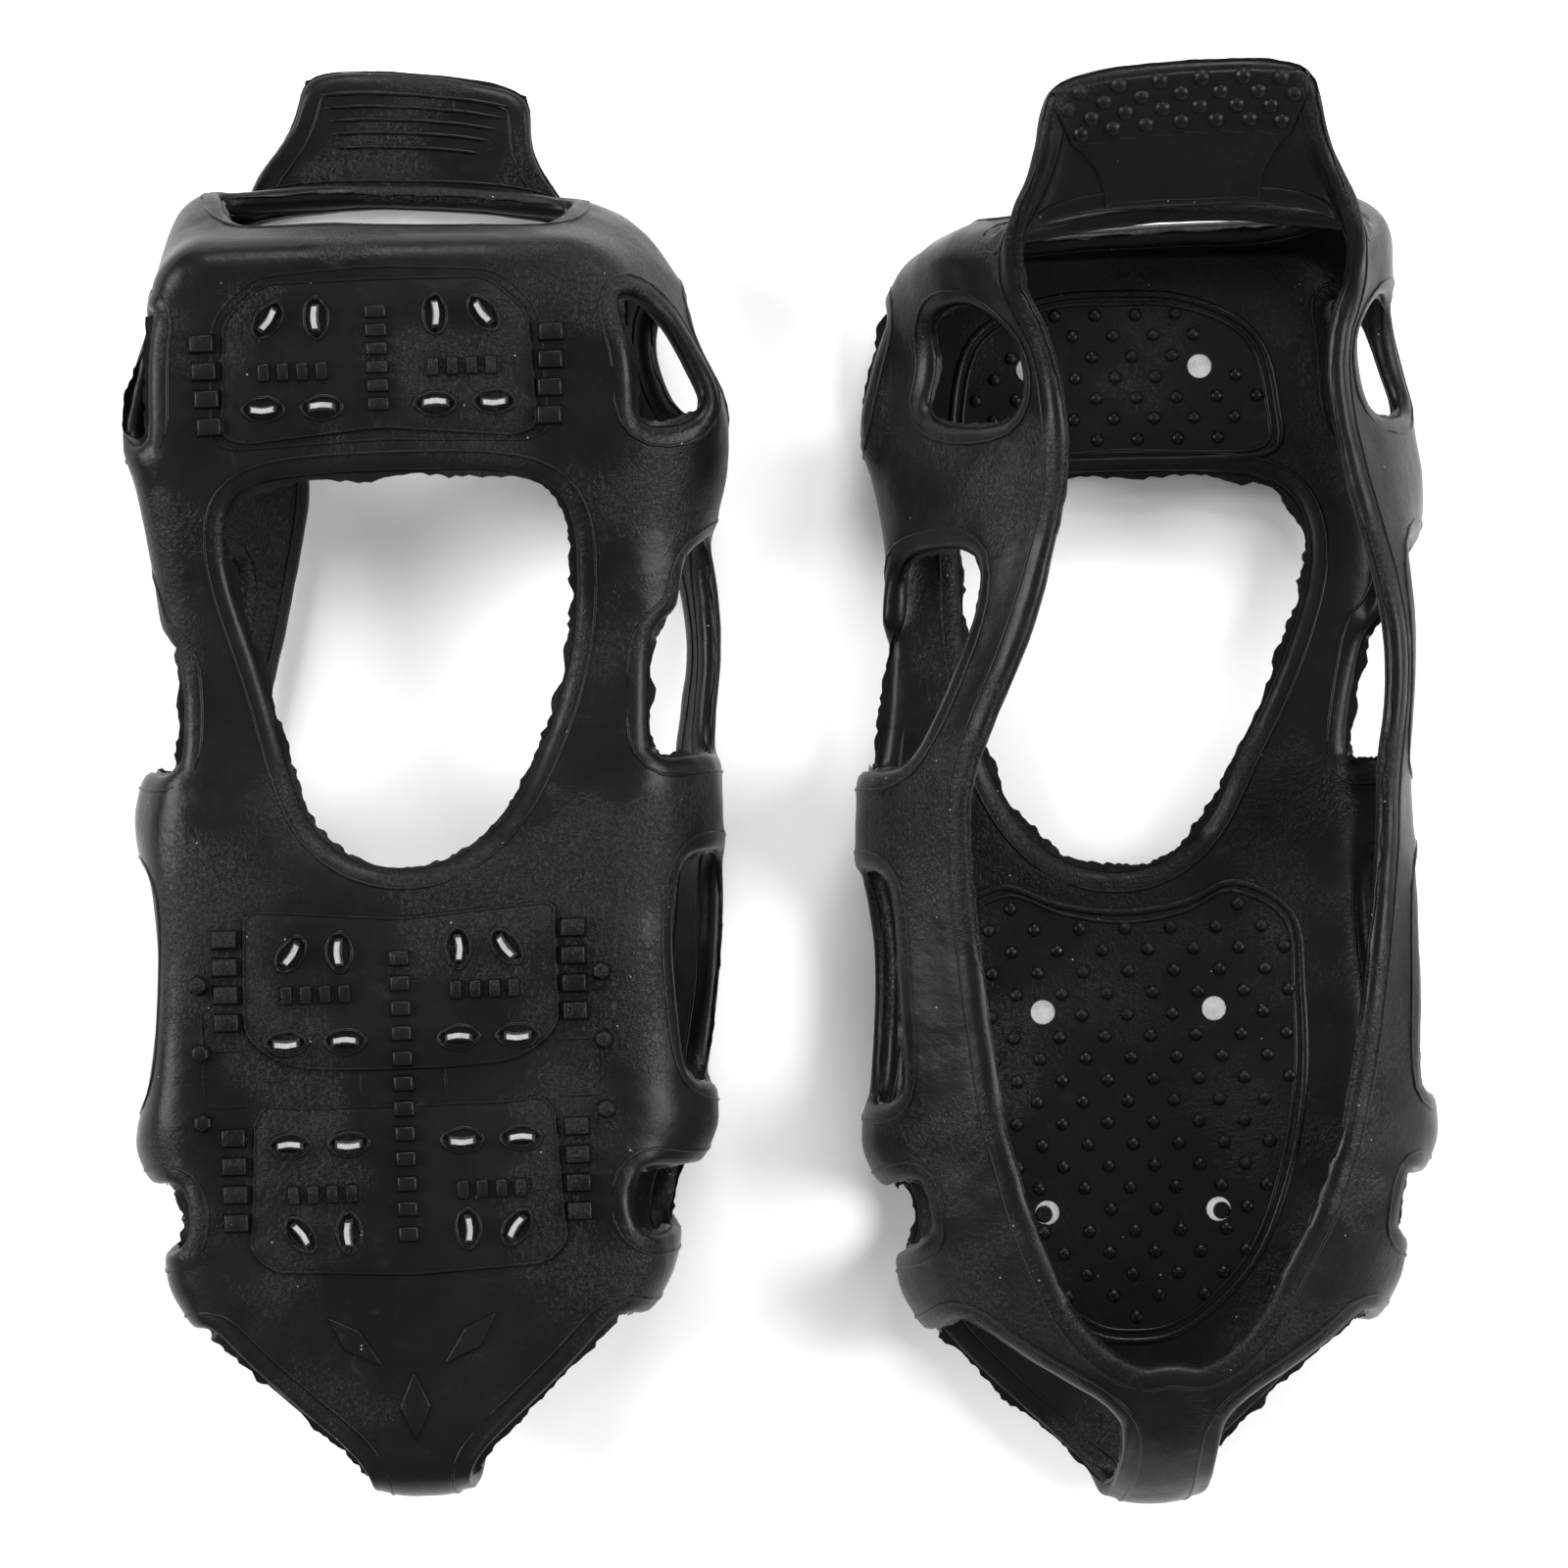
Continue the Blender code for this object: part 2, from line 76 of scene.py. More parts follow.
# One line for each station along the right-hand side, from the toe to the heel:
# sole edge (x, y), lower rim edge (x, y), upper rim edge (x, y), outward swell of the wall,
# and the wall between this station and the next one.
STATIONS = [
    ((9.0, -129.0), (9.0, -117.0), (5.0, -107.5), 0.0, "notch"),
    ((13.3, -123.8), (14.5, -112.5), (9.0, -106.0), 0.0, "notch"),
    ((22.7, -115.8), (22.5, -108.0), (13.0, -103.0), 0.0, "notch"),
    ((31.5, -107.5), (31.0, -103.0), (17.0, -98.5), 0.0, "notch"),
    ((38.5, -99.5), (38.5, -96.5), (20.5, -92.0), 2.5, "arm"),
    ((43.5, -92.0), (42.5, -88.5), (23.5, -85.5), 4.5, "arm"),
    ((43.0, -86.0), (43.5, -83.0), (26.0, -80.0), 3.0, "notch"),
    ((40.5, -80.0), (44.0, -77.0), (28.0, -74.0), 0.0, "notch"),
    ((43.0, -72.5), (45.0, -71.0), (29.3, -69.0), 5.5, "arm"),
    ((46.0, -65.0), (46.5, -64.5), (31.0, -64.0), 9.0, "arm"),
    ((46.0, -58.0), (47.0, -58.0), (32.0, -58.0), 4.5, "window"),
    ((46.0, -45.0), (47.8, -45.0), (34.3, -45.0), 1.0, "window"),
    ((45.0, -29.0), (48.0, -29.0), (36.3, -29.0), 0.0, "window"),
    ((45.0, -14.5), (48.2, -14.5), (38.0, -14.5), 4.0, "arm"),
    ((44.7, -6.5), (47.4, -6.5), (38.5, -6.5), 7.0, "arm"),
    ((43.5, 3.0), (45.8, 3.0), (37.6, 3.0), 5.0, "notch"),
    ((43.0, 14.0), (42.5, 14.0), (35.5, 14.0), 1.0, "notch"),
    ((43.5, 29.0), (39.0, 29.0), (31.5, 29.0), 2.0, "window"),
    ((44.0, 42.0), (36.5, 46.0), (27.0, 46.0), 4.0, "arm"),
    ((44.0, 53.0), (35.5, 56.0), (24.5, 55.5), 9.0, "arm"),
    ((44.0, 64.0), (32.0, 66.0), (23.7, 65.0), 9.5, "double window"),
    ((44.3, 74.0), (29.5, 75.5), (24.0, 74.5), 6.5, "double window"),
    ((43.8, 84.0), (31.0, 84.5), (26.0, 83.5), 6.0, "double window"),
    ((42.0, 91.5), (39.5, 92.0), (31.0, 91.0), 6.0, "arm"),
    ((40.5, 97.0), (44.5, 99.5), (35.0, 97.5), 4.0, "arm"),
]
BACK = ((HEEL_HALF, HEEL_Y), (41.0, 106.5), (36.5, 102.5))  # the back corner's three points
INNER_SHARE = (0.0, 0.34, 0.68)  # inner columns of the sole, as shares of its half width
BACK_SHARE = (0.0, 0.42, 0.83, 1.0)  # columns along the back edge

# The arch opening's edge, by station: the inner points where the sole stops.
ARCH_FRONT, ARCH_BACK = 13, 20
ARCH_EDGE = {13: (16.5, -8.5), 14: (20.5, -1.5), 15: (23.7, 7.0), 16: (26.8, 16.5), 17: (29.9, 28.5),
             18: (32.0, 40.0), 19: (32.3, 49.5), 20: (28.5, 57.0)}
ARCH_ENDS = {13: ((0.0, -16.5), (9.5, -14.5)), 20: ((0.0, 58.5), (14.0, 58.5))}

# Heights of the rim's two edges along Y
RIM_LOWER_Z = ((-120, 35), (-95, 31), (-60, 32), (-15, 33), (20, 34), (50, 36), (75, 37), (90, 35), (107, 31))
RIM_UPPER_Z = ((-108, 40), (-85, 42), (-40, 43), (0, 44.5), (40, 45), (89, 45.5), (104, 42))

# The heel strap's lower and upper edge, from its root on the rim to the middle of the tab
STRAP_EDGES = [
    ((36.0, 100.0, 43.5), (31.5, 90.5, 46.5)),
    ((33.0, 104.5, 46.5), (33.5, 98.5, 52.0)),
    ((28.0, 106.5, 48.0), (32.0, 108.0, 56.5)),
    ((22.5, 107.3, 48.8), (26.5, 115.5, 60.0)),
    ((17.5, 107.6, 49.2), (24.8, 123.5, 62.0)),
    ((12.5, 107.8, 49.5), (24.0, 131.0, 63.5)),
    ((6.5, 107.9, 49.6), (12.5, 132.4, 64.2)),
    ((0.0, 107.9, 49.7), (0.0, 132.8, 64.4)),
]

# How each soft cleat has settled. Every list runs along the cleat as (y, millimetres): lean and
# splay move the rim sideways and outwards, bulge swells each wall outwards at half height, creep
# moves the sole sideways, hem moves each edge of the sole outwards, reach moves the rim's ends
# along Y, and cant slants the narrow heel band. The heel strap's flatten lays it down to the
# hinge line's height (0 stands free, 1 lies flat), and its length, narrowing and skew say how it
# has crumpled.
CLEATS = {
    "right": {
        "place": (64.2, 0.4), "turn": 1.3, "sole_up": False, "stretch": 1.01,
        "lean": ((-125, 8.0), (-95, 5.5), (-66, 7.5), (-37, 8.5), (0, 9.0), (28, 16.5), (56, 16.0),
                 (80, 13.5), (95, 12.5), (120, 12.0)),
        "splay": ((-110, 0.0), (-10, 0.0), (25, 2.0), (60, 1.5), (80, 1.0), (97, -1.5), (108, -1.5),
                  (120, 0.5)),
        "bulge": {1: ((-80, 0.8), (-60, 1.0), (-40, -0.5), (-5, -2.5), (20, 0.0), (60, 1.5), (75, 3.8),
                      (95, 0.5)),
                  -1: ((-95, -2.0), (-60, 0.5), (-35, 2.5), (-15, 1.5), (-5, 0.5), (30, 0.0), (55, -2.0),
                       (70, -5.5), (88, -5.5), (98, -2.5))},
        "creep": ((-30, 0.0), (-12, -2.2), (5, -2.2), (22, 1.0), (40, 3.4), (55, 2.2), (70, 0.0)),
        "hem": {1: ((55, 0.0), (68, -3.0), (90, -2.0), (100, 0.0)),
                -1: ((-10, 0.0), (8, 1.5), (22, 2.5), (50, 1.5), (68, 1.5), (90, 1.5), (100, 0.0))},
        "reach": ((95, 0.0), (108, -2.0)), "cant": 0.06,
        "flatten": 0.0, "length": 1.04, "narrowing": -0.5, "skew": 0.05,
    },
    "left": {
        "place": (-72.9, -0.6), "turn": 2.1, "sole_up": True, "stretch": 0.995,
        "lean": ((-125, -5.5), (-95, -6.0), (-66, -10.0), (-37, -13.3), (0, -13.0), (30, -18.3),
                 (50, -17.8), (64, -16.0), (93, -12.0), (108, -4.0), (125, -8.0)),
        "splay": ((-110, 0.0), (-92, -1.5), (-70, -1.5), (-45, 0.5), (0, 2.0), (30, 8.0), (56, 8.0),
                  (80, 7.5), (97, 2.0), (115, 0.0)),
        "bulge": {1: ((-95, 0.5), (-66, 2.2), (-50, -2.5), (-25, -2.5), (-5, 4.0), (20, 1.0), (56, -3.0),
                      (72, -5.5), (88, -5.0), (98, -2.0)),
                  -1: ((-95, 0.5), (-60, 1.5), (-30, 2.0), (-5, 0.8), (20, 2.0), (45, 3.5), (62, 8.0),
                       (90, 5.0), (100, 1.0))},
        "creep": ((-30, 0.0), (-12, -1.5), (5, -3.6), (20, -4.6), (45, -1.8), (62, 0.0)),
        "hem": {1: ((0, 0.0), (100, 0.0)), -1: ((60, 0.0), (72, 2.5), (90, 1.0), (98, 0.0))},
        "reach": ((95, 0.0), (108, 4.5)), "cant": 0.07,
        "flatten": 1.0, "length": 0.84, "narrowing": 4.0, "skew": 0.08,
    },
}

# Stud plates in the cleat frame: centre, the y of the round hole above it, and whether the
# slanted pair of teeth faces the heel
STUD_PLATES = [
    ((-16.2, 79.5), 78.4, True), ((16.2, 79.5), 78.4, True),
    ((-16.2, -39.3), -42.0, True), ((16.2, -39.3), -42.0, True),
    ((-16.2, -75.2), -79.6, False), ((16.2, -75.2), -79.6, False),
]
TEETH = ((3.9, 8.3, 35.0), (-5.1, 8.3, 0.0), (5.4, -8.3, 90.0), (-5.6, -8.3, 90.0))  # outward x, y, angle



def along(keys, y):
    """The value at y of a smooth run of (y, value) keys."""
    if y <= keys[0][0]:
        return float(keys[0][1])
    for (y0, v0), (y1, v1) in zip(keys, keys[1:]):
        if y <= y1:
            t = (y - y0) / (y1 - y0)
            return v0 + (v1 - v0) * t * t * (3 - 2 * t)
    return float(keys[-1][1])


def arch_bump(y):
    """0 outside the arch, 1 in its middle."""
    low, high = ARCH_SPAN
    if not low < y < high:
        return 0.0
    return math.sin(math.pi * (y - low) / (high - low)) ** 2


def wall_profile(edge, lower, upper, swell, kind, outward):
    """Points up the wall from one sole edge point to the rim's upper edge."""
    edge, lower, upper = Vector(edge), Vector(lower), Vector(upper)
    lip = edge + outward * (0.6 + swell * (0.9 if kind == "double window" else 0.5))
    shoulder = (edge + lower) / 2 + outward * swell
    return [
        (*lip, LIP_Z),
        (*shoulder, SHOULDER_Z),
        (*lower, along(RIM_LOWER_Z, lower.y)),
        (*upper, along(RIM_UPPER_Z, upper.y)),
    ]


def side_outward(i):
    """The outward direction at station i, square to the rim's lower edge."""
    before = Vector(STATIONS[max(i - 1, 0)][1])
    after = Vector(STATIONS[i + 1][1] if i + 1 < len(STATIONS) else BACK[1])
    along_rim = after - before
    return Vector((along_rim.y, -along_rim.x)).normalized()


def sole_row(i):
    """The right half of one row of the sole: its four columns from the middle out."""
    edge = STATIONS[i][0]
    row = [(edge[0] * share, edge[1]) for share in INNER_SHARE] + [edge]
    if i in ARCH_EDGE:
        row[2] = ARCH_EDGE[i]
    if i in ARCH_ENDS:
        row[0], row[1] = ARCH_ENDS[i]
    return row


def toe_profile(x):
    """The single arm at the toe, which curls up and back to the rim."""
    share = x / STATIONS[0][0][0]
    lower, upper = STATIONS[0][1], STATIONS[0][2]
    back = 2.2 * share**4
    return [(x * 0.96, -133.2 + back, LIP_Z), (x, -131.0 + back, 21.0), (lower[0] * share, lower[1], 35.0),
            (upper[0] * share, upper[1] + 0.8 * (1 - share**2), 40.0)]


def heel_profile(share):
    """The back of the heel: a low wall, a slot and the narrow band."""
    crown = 1 - share**2
    return [
        (36.5 * share, 102.3 + crown, HEEL_WALL_Z * (1 - 0.25 * share**4)),
        (38.5 * share, 106.5 + crown, 23.0),
        (BACK[1][0] * share, BACK[1][1] + 2.5 * crown, 31.0),
        (BACK[2][0] * share, BACK[2][1] + 5.0 * crown, 42.0 - 4.0 * crown),
    ]


class Cage:
    """A sheet of quads whose points are found by name."""

    def __init__(self):
        self.points, self.faces = {}, []

    def put(self, name, point):
        self.points[name] = Vector(point)

    def quad(self, *names):
        self.faces.append(names)

    def to_bmesh(self, settle):
        bm = bmesh.new()
        used = {}
        for face in self.faces:
            for name in face:
                if name not in used:
                    used[name] = bm.verts.new(settle(self.points[name]) * MM)
            bm.faces.new([used[name] for name in face])
        return bm


def harness_cage():
    """The harness in the cleat frame as one open sheet, half a thickness inside each surface."""
    cage = Cage()
    rows = len(STATIONS)
    half = SHEET / 2
    columns = range(-3, 4)
    for i in range(rows + 1):
        right = sole_row(i) if i < rows else [(HEEL_HALF * s, HEEL_Y + 1.0 - s**2) for s in BACK_SHARE]
        for c in columns:
            x, y = right[abs(c)]
            cage.put((i, c, 0), (math.copysign(x, c), y, half))
    for i in range(rows):
        for c in range(-3, 3):
            if ARCH_FRONT <= i < ARCH_BACK and -2 <= c < 2:
                continue
            cage.quad((i, c, 0), (i, c + 1, 0), (i + 1, c + 1, 0), (i + 1, c, 0))

    # Walls stand on the ring of edge points: toe row, right side, back row, left side.
    ring = [(0, c) for c in columns] + [(i, 3) for i in range(1, rows)]
    ring += [(rows, c) for c in reversed(columns)] + [(i, -3) for i in range(rows - 1, 0, -1)]
    kinds = []
    for i, c in ring:
        side = -1 if c < 0 else 1
        if i == 0:
            profile = toe_profile(math.copysign(STATIONS[0][0][0] * (*INNER_SHARE, 1.0)[abs(c)], c))
        elif i == rows:
            profile = heel_profile(math.copysign(BACK_SHARE[abs(c)], c))
        else:
            profile = [(x * side, y, z) for x, y, z in wall_profile(*STATIONS[i], side_outward(i))]
        for level, point in enumerate(profile, 1):
            cage.put((i, c, level), point)
    for k, (i, c) in enumerate(ring):
        j, d = ring[(k + 1) % len(ring)]
        if i == j == 0:
            kinds.append("arm")
        elif i == j == rows:
            kinds.append("arm" if abs(c) == 3 or abs(d) == 3 else "window")
        else:
            kinds.append(STATIONS[min(i, j)][4])
    present = {"arm": (0, 1, 2, 3), "window": (0, 3), "double window": (1, 3), "notch": (3,)}
    for k, (i, c) in enumerate(ring):
        j, d = ring[(k + 1) % len(ring)]
        for level in present[kinds[k]]:
            cage.quad((i, c, level), (i, c, level + 1), (j, d, level + 1), (j, d, level))
    return cage


def strap_cage(pose):
    """The heel strap as one open sheet: a wide tab on two twisted legs."""
    cage = Cage()
    count = len(STRAP_EDGES)
    for side in (-1, 1):
        for k, (lower, upper) in enumerate(STRAP_EDGES):
            for level, share in enumerate((0.0, 0.5, 1.0)):
                x, y, z = Vector(lower).lerp(Vector(upper), share)
                bow = 1.5 * math.sin(math.pi * share) * min(k, 3) / 3
                point = Vector((side * x, y + bow, z - bow))
                cage.put((side * (count - 1 - k), level), settle_strap(point, pose) if k else point)
    for k in range(1 - count, count - 1):
        for level in (0, 1):
            cage.quad((k, level), (k, level + 1), (k + 1, level + 1), (k + 1, level))
    return cage


def settle_point(point, pose):
    """Moves a point of the free shape to where the soft cleat has settled."""
    x, y, z = point
    rim = min(z / RIM_UPPER_Z[-2][1], 1.0)
    arch = arch_bump(y) * max(0.0, 1 - rim)
    side = max(-1.0, min(1.0, x / 20))
    right = 1 if x > 0 else -1
    across = along(pose["lean"], y) * rim + along(pose["creep"], y) * (1 - rim)
    outwards = along(pose["splay"], y) * rim + along(pose["hem"][right], y) * (1 - rim)
    outwards += along(pose["bulge"][right], y) * math.sin(math.pi * rim)
    cant = pose["cant"] * x * max(0.0, min(1.0, (y - 98) / 6)) * math.sin(math.pi * rim)
    long_y = 80 + (y - 80) * pose["stretch"] + along(pose["reach"], y) * rim + cant
    return Vector((x + across + outwards * side, long_y, z + ARCH_RISE * arch))


def settle_strap(point, pose):
    """Lays a strap point down towards the hinge line's height and crumples it."""
    x, dy, dz = point.x, point.y - HINGE[0], point.z - HINGE[1]
    out = math.hypot(dy, dz) * (pose["length"] + pose["skew"] * x / HEEL_HALF)
    angle = math.atan2(dz, dy) * (1 - pose["flatten"])
    x *= 1 - pose["narrowing"] / HEEL_HALF
    return Vector((x, HINGE[0] + out * math.cos(angle), HINGE[1] + out * math.sin(angle)))


def plate_spots(pose):
    """Where the six plates go: centre, the hole's y, then each tooth's x, y and angle."""
    for (x, y), hole_y, slant_to_heel in STUD_PLATES:
        side, flip = math.copysign(1, x), 1 if slant_to_heel else -1
        y, hole_y = (80 + (v - 80) * pose["stretch"] for v in (y, hole_y))
        teeth = [(x + side * dx, y + flip * dy, math.radians(side * flip * turn)) for dx, dy, turn in TEETH]
        yield (x, y), hole_y, teeth


# ---------------------------------------------------------------- helpers

WALL = 4.4  # thickness of the rubber at the beads round its openings


def cleat_matrix(pose):
    """From the cleat frame in millimetres to the world frame in metres."""
    height = REST_Z if pose["sole_up"] else -TOOTH_TIP_Z
    place = Vector((*pose["place"], height)) * MM
    turn = Matrix.Rotation(math.radians(pose["turn"]), 4, "Z")
    flip = Matrix.Rotation(math.pi if pose["sole_up"] else 0.0, 4, "Y")
    return Matrix.Translation(place) @ turn @ flip @ Matrix.Scale(MM, 4)


def lay(point, pose):
    """Where a point of the free sole comes to lie."""
    x, y, z = point
    return Vector((x + along(pose["creep"], y), 80 + (y - 80) * pose["stretch"], z + ARCH_RISE * arch_bump(y)))


def to_object(name, bm, material, matrix=None):
    if matrix is not None:
        bm.transform(matrix)
    bmesh.ops.recalc_face_normals(bm, faces=bm.faces)
    mesh = bpy.data.meshes.new(name)
    bm.to_mesh(mesh)
    bm.free()
    item = bpy.data.objects.new(name, mesh)
    bpy.context.scene.collection.objects.link(item)
    mesh.materials.append(material)
    return item


def bake(item):
    """Applies the object's modifiers to its mesh."""
    bpy.context.view_layer.update()
    graph = bpy.context.evaluated_depsgraph_get()
    mesh = bpy.data.meshes.new_from_object(item.evaluated_get(graph))
    item.modifiers.clear()
    item.data = mesh
    return item


def shade(item, angle=None):
    item.data.shade_smooth()
    if angle:
        item.data.set_sharp_from_angle(angle=math.radians(angle))
    return item


def prism(bm, outline, low, high, inset=0.0):
    """A closed prism; its far end is drawn in by inset."""
    centre = sum((Vector(p) for p in outline), Vector((0, 0))) / len(outline)
    ends = []
    for z, shrink in ((low, 0.0), (high, inset)):
        ring = []
        for p in outline:
            away = Vector(p) - centre
            keep = 1 - shrink / max(away.length, 0.01)
            ring.append(bm.verts.new((*(centre + away * keep), z)))
        ends.append(ring)
    count = len(outline)
    for k in range(count):
        n = (k + 1) % count
        bm.faces.new((ends[0][k], ends[0][n], ends[1][n], ends[1][k]))
    bm.faces.new(ends[0][::-1])
    bm.faces.new(ends[1])


def block(bm, x, y, wide, long, low, high, inset=0.45):
    prism(bm, [(x - wide / 2, y - long / 2), (x + wide / 2, y - long / 2),
               (x + wide / 2, y + long / 2), (x - wide / 2, y + long / 2)], low, high, inset)


def rounded(points, radius, steps=4):
    """A closed outline with rounded corners."""
    out = []
    count = len(points)
    for k in range(count):
        here = Vector(points[k])
        a, b = Vector(points[k - 1]) - here, Vector(points[(k + 1) % count]) - here
        r = min(radius, a.length * 0.45, b.length * 0.45)
        start, end = here + a.normalized() * r, here + b.normalized() * r
        for s in range(steps + 1):
            t = s / steps
            out.append(tuple(start * (1 - t) ** 2 + here * 2 * t * (1 - t) + end * t**2))
    return out


def lens(x, y, length, width, turn, steps=8):
    """A slim oval, slightly pointed at both ends."""
    out = []
    for k in range(2 * steps):
        a = math.pi * (k + 0.5) / steps
        u, w = length / 2 * math.cos(a), width / 2 * math.copysign(abs(math.sin(a)) ** 1.15, math.sin(a))
        out.append((x + u * -math.sin(turn) - w * math.cos(turn), y + u * math.cos(turn) - w * math.sin(turn)))
    return out


def dome(bm, centre, across, up, radius, height, segments=12):
    """A round knob standing on a surface."""
    side = up.cross(across)
    rings = []
    for share, rise in ((1.25, -0.35), (1.05, 0.05), (0.92, 0.45), (0.62, 0.84)):
        ring = []
        for k in range(segments):
            a = 2 * math.pi * k / segments
            ring.append(bm.verts.new(centre + (across * math.cos(a) + side * math.sin(a)) * radius * share
                                     + up * height * rise))
        rings.append(ring)
    top = bm.verts.new(centre + up * height)
    for low, high in zip(rings, rings[1:]):
        for k in range(segments):
            n = (k + 1) % segments
            bm.faces.new((low[k], low[n], high[n], high[k]))
    for k in range(segments):
        bm.faces.new((rings[-1][k], rings[-1][(k + 1) % segments], top))
    bm.faces.new(rings[0][::-1])


def cord_of(bm, path, normals, wide, high, closed=True, sides=8):
    """A low rounded ridge that follows a path on a surface."""
    count = len(path)
    rings = []
    for k in range(count):
        before = path[k - 1] if closed or k else path[k]
        after = path[(k + 1) % count] if closed or k < count - 1 else path[k]
        ahead = (after - before).normalized()
        across = ahead.cross(normals[k]).normalized()
        taper = 1.0 if closed else min(1.0, 0.25 + min(k, count - 1 - k) * 0.4)
        rings.append([bm.verts.new(path[k] + across * math.cos(2 * math.pi * s / sides) * wide / 2 * taper
                                   + normals[k] * math.sin(2 * math.pi * s / sides) * high * taper)
                      for s in range(sides)])
    for k in range(count if closed else count - 1):
        a, b = rings[k], rings[(k + 1) % count]
        for s in range(sides):
            n = (s + 1) % sides
            bm.faces.new((a[s], a[n], b[n], b[s]))
    if not closed:
        bm.faces.new(rings[0][::-1])
        bm.faces.new(rings[-1])


def smooth_line(points, steps=6, closed=False):
    """A Catmull-Rom curve through the points."""
    out = []
    count = len(points)
    spans = count if closed else count - 1
    for k in range(spans):
        p = [Vector(points[(k + o) % count]) if closed else Vector(points[max(0, min(count - 1, k + o))])
             for o in (-1, 0, 1, 2)]
        for s in range(steps):
            t = s / steps
            out.append(0.5 * (2 * p[1] + (p[2] - p[0]) * t + (2 * p[0] - 5 * p[1] + 4 * p[2] - p[3]) * t * t
                              + (3 * p[1] - p[0] - 3 * p[2] + p[3]) * t**3))
    if not closed:
        out.append(Vector(points[-1]))
    return out


# ---------------------------------------------------------------- materials

def node(tree, kind, **values):
    made = tree.nodes.new(kind)
    for key, value in values.items():
        if hasattr(made, key):
            setattr(made, key, value)
        else:
            made.inputs[key.replace("_", " ")].default_value = value
    return made


def ramp(tree, source, low, high, start, end):
    """Maps a value from low..high to start..end."""
    made = node(tree, "ShaderNodeMapRange", clamp=True)
    for socket, value in zip(("From Min", "From Max", "To Min", "To Max"), (low, high, start, end)):
        made.inputs[socket].default_value = value
    tree.links.new(source, made.inputs["Value"])
    return made.outputs["Result"]


def math_node(tree, operation, a, b):
    made = node(tree, "ShaderNodeMath", operation=operation)
    for socket, value in zip(made.inputs, (a, b)):
        if isinstance(value, (int, float)):
            socket.default_value = value
        else:
            tree.links.new(value, socket)
    return made.outputs[0]


def new_material(name):
    material = bpy.data.materials.new(name)
    material.use_nodes = True
    tree = material.node_tree
    return material, tree, tree.nodes["Principled BSDF"]


def bump(tree, height, strength, distance, before=None):
    made = node(tree, "ShaderNodeBump")
    made.inputs["Strength"].default_value = strength
    made.inputs["Distance"].default_value = distance
    tree.links.new(height, made.inputs["Height"])
    if before is not None:
        tree.links.new(before, made.inputs["Normal"])
    return made.outputs["Normal"]


def noise_of(tree, place, scale, detail=2.0, rough=0.5, distort=0.0):
    made = node(tree, "ShaderNodeTexNoise", Scale=scale, Detail=detail, Roughness=rough, Distortion=distort)
    tree.links.new(place, made.inputs["Vector"])
    return made.outputs["Fac"]


def rubber_material(name, seed):
    """Black moulded rubber: satin, with crinkled patches, faint bloom, dust specks and rub marks."""
    material, tree, shader = new_material(name)
    links = tree.links
    place = node(tree, "ShaderNodeTexCoord").outputs["Object"]
    shifted = node(tree, "ShaderNodeMapping")
    shifted.inputs["Location"].default_value = (seed, seed * 0.7, seed * 0.3)
    links.new(place, shifted.inputs["Vector"])
    place = shifted.outputs["Vector"]

    bloom = noise_of(tree, place, 45.0, 4.0, 0.6)
    smear = noise_of(tree, place, 140.0, 5.0, 0.65, 1.2)
    patch = ramp(tree, noise_of(tree, place, 38.0, 2.0), 0.46, 0.60, 0.12, 1.0)
    grain = noise_of(tree, place, 3200.0, 3.0, 0.6)
    crinkle = noise_of(tree, place, 950.0, 3.0, 0.65, 1.5)
    dent = noise_of(tree, place, 210.0, 3.0, 0.5)

    cells = node(tree, "ShaderNodeTexVoronoi", feature="F1", Scale=420.0)
    links.new(place, cells.inputs["Vector"])
    dot = math_node(tree, "LESS_THAN", cells.outputs["Distance"], 0.075)
    pick = node(tree, "ShaderNodeSeparateColor")
    links.new(cells.outputs["Color"], pick.inputs["Color"])
    speck = math_node(tree, "MULTIPLY", dot, math_node(tree, "GREATER_THAN", pick.outputs["Red"], 0.93))

    colour = node(tree, "ShaderNodeMix", data_type="RGBA")
    colour.inputs["A"].default_value = (0.0022, 0.0022, 0.0023, 1)
    colour.inputs["B"].default_value = (0.0040, 0.0040, 0.0042, 1)
    links.new(ramp(tree, bloom, 0.35, 0.75, 0.0, 1.0), colour.inputs["Factor"])
    dusty = node(tree, "ShaderNodeMix", data_type="RGBA")
    dusty.inputs["B"].default_value = (0.017, 0.017, 0.0175, 1)
    links.new(ramp(tree, smear, 0.62, 0.85, 0.0, 0.55), dusty.inputs["Factor"])
    links.new(colour.outputs["Result"], dusty.inputs["A"])
    specked = node(tree, "ShaderNodeMix", data_type="RGBA")
    specked.inputs["B"].default_value = (0.16, 0.16, 0.16, 1)
    links.new(speck, specked.inputs["Factor"])
    links.new(dusty.outputs["Result"], specked.inputs["A"])
    links.new(specked.outputs["Result"], shader.inputs["Base Color"])

    rough = math_node(tree, "ADD", ramp(tree, bloom, 0.3, 0.75, 0.25, 0.38), ramp(tree, patch, 0.0, 1.0, 0.0, 0.06))
    rough = math_node(tree, "ADD", rough, ramp(tree, smear, 0.55, 0.85, 0.0, 0.14))
    links.new(rough, shader.inputs["Roughness"])
    shader.inputs["Specular IOR Level"].default_value = 0.14

    soft = bump(tree, dent, 0.30, 0.0006)
    worn = bump(tree, math_node(tree, "MULTIPLY", crinkle, patch), 0.8, 0.00035, soft)
    fine = bump(tree, grain, 0.35, 0.00003, worn)
    links.new(fine, shader.inputs["Normal"])
    return material


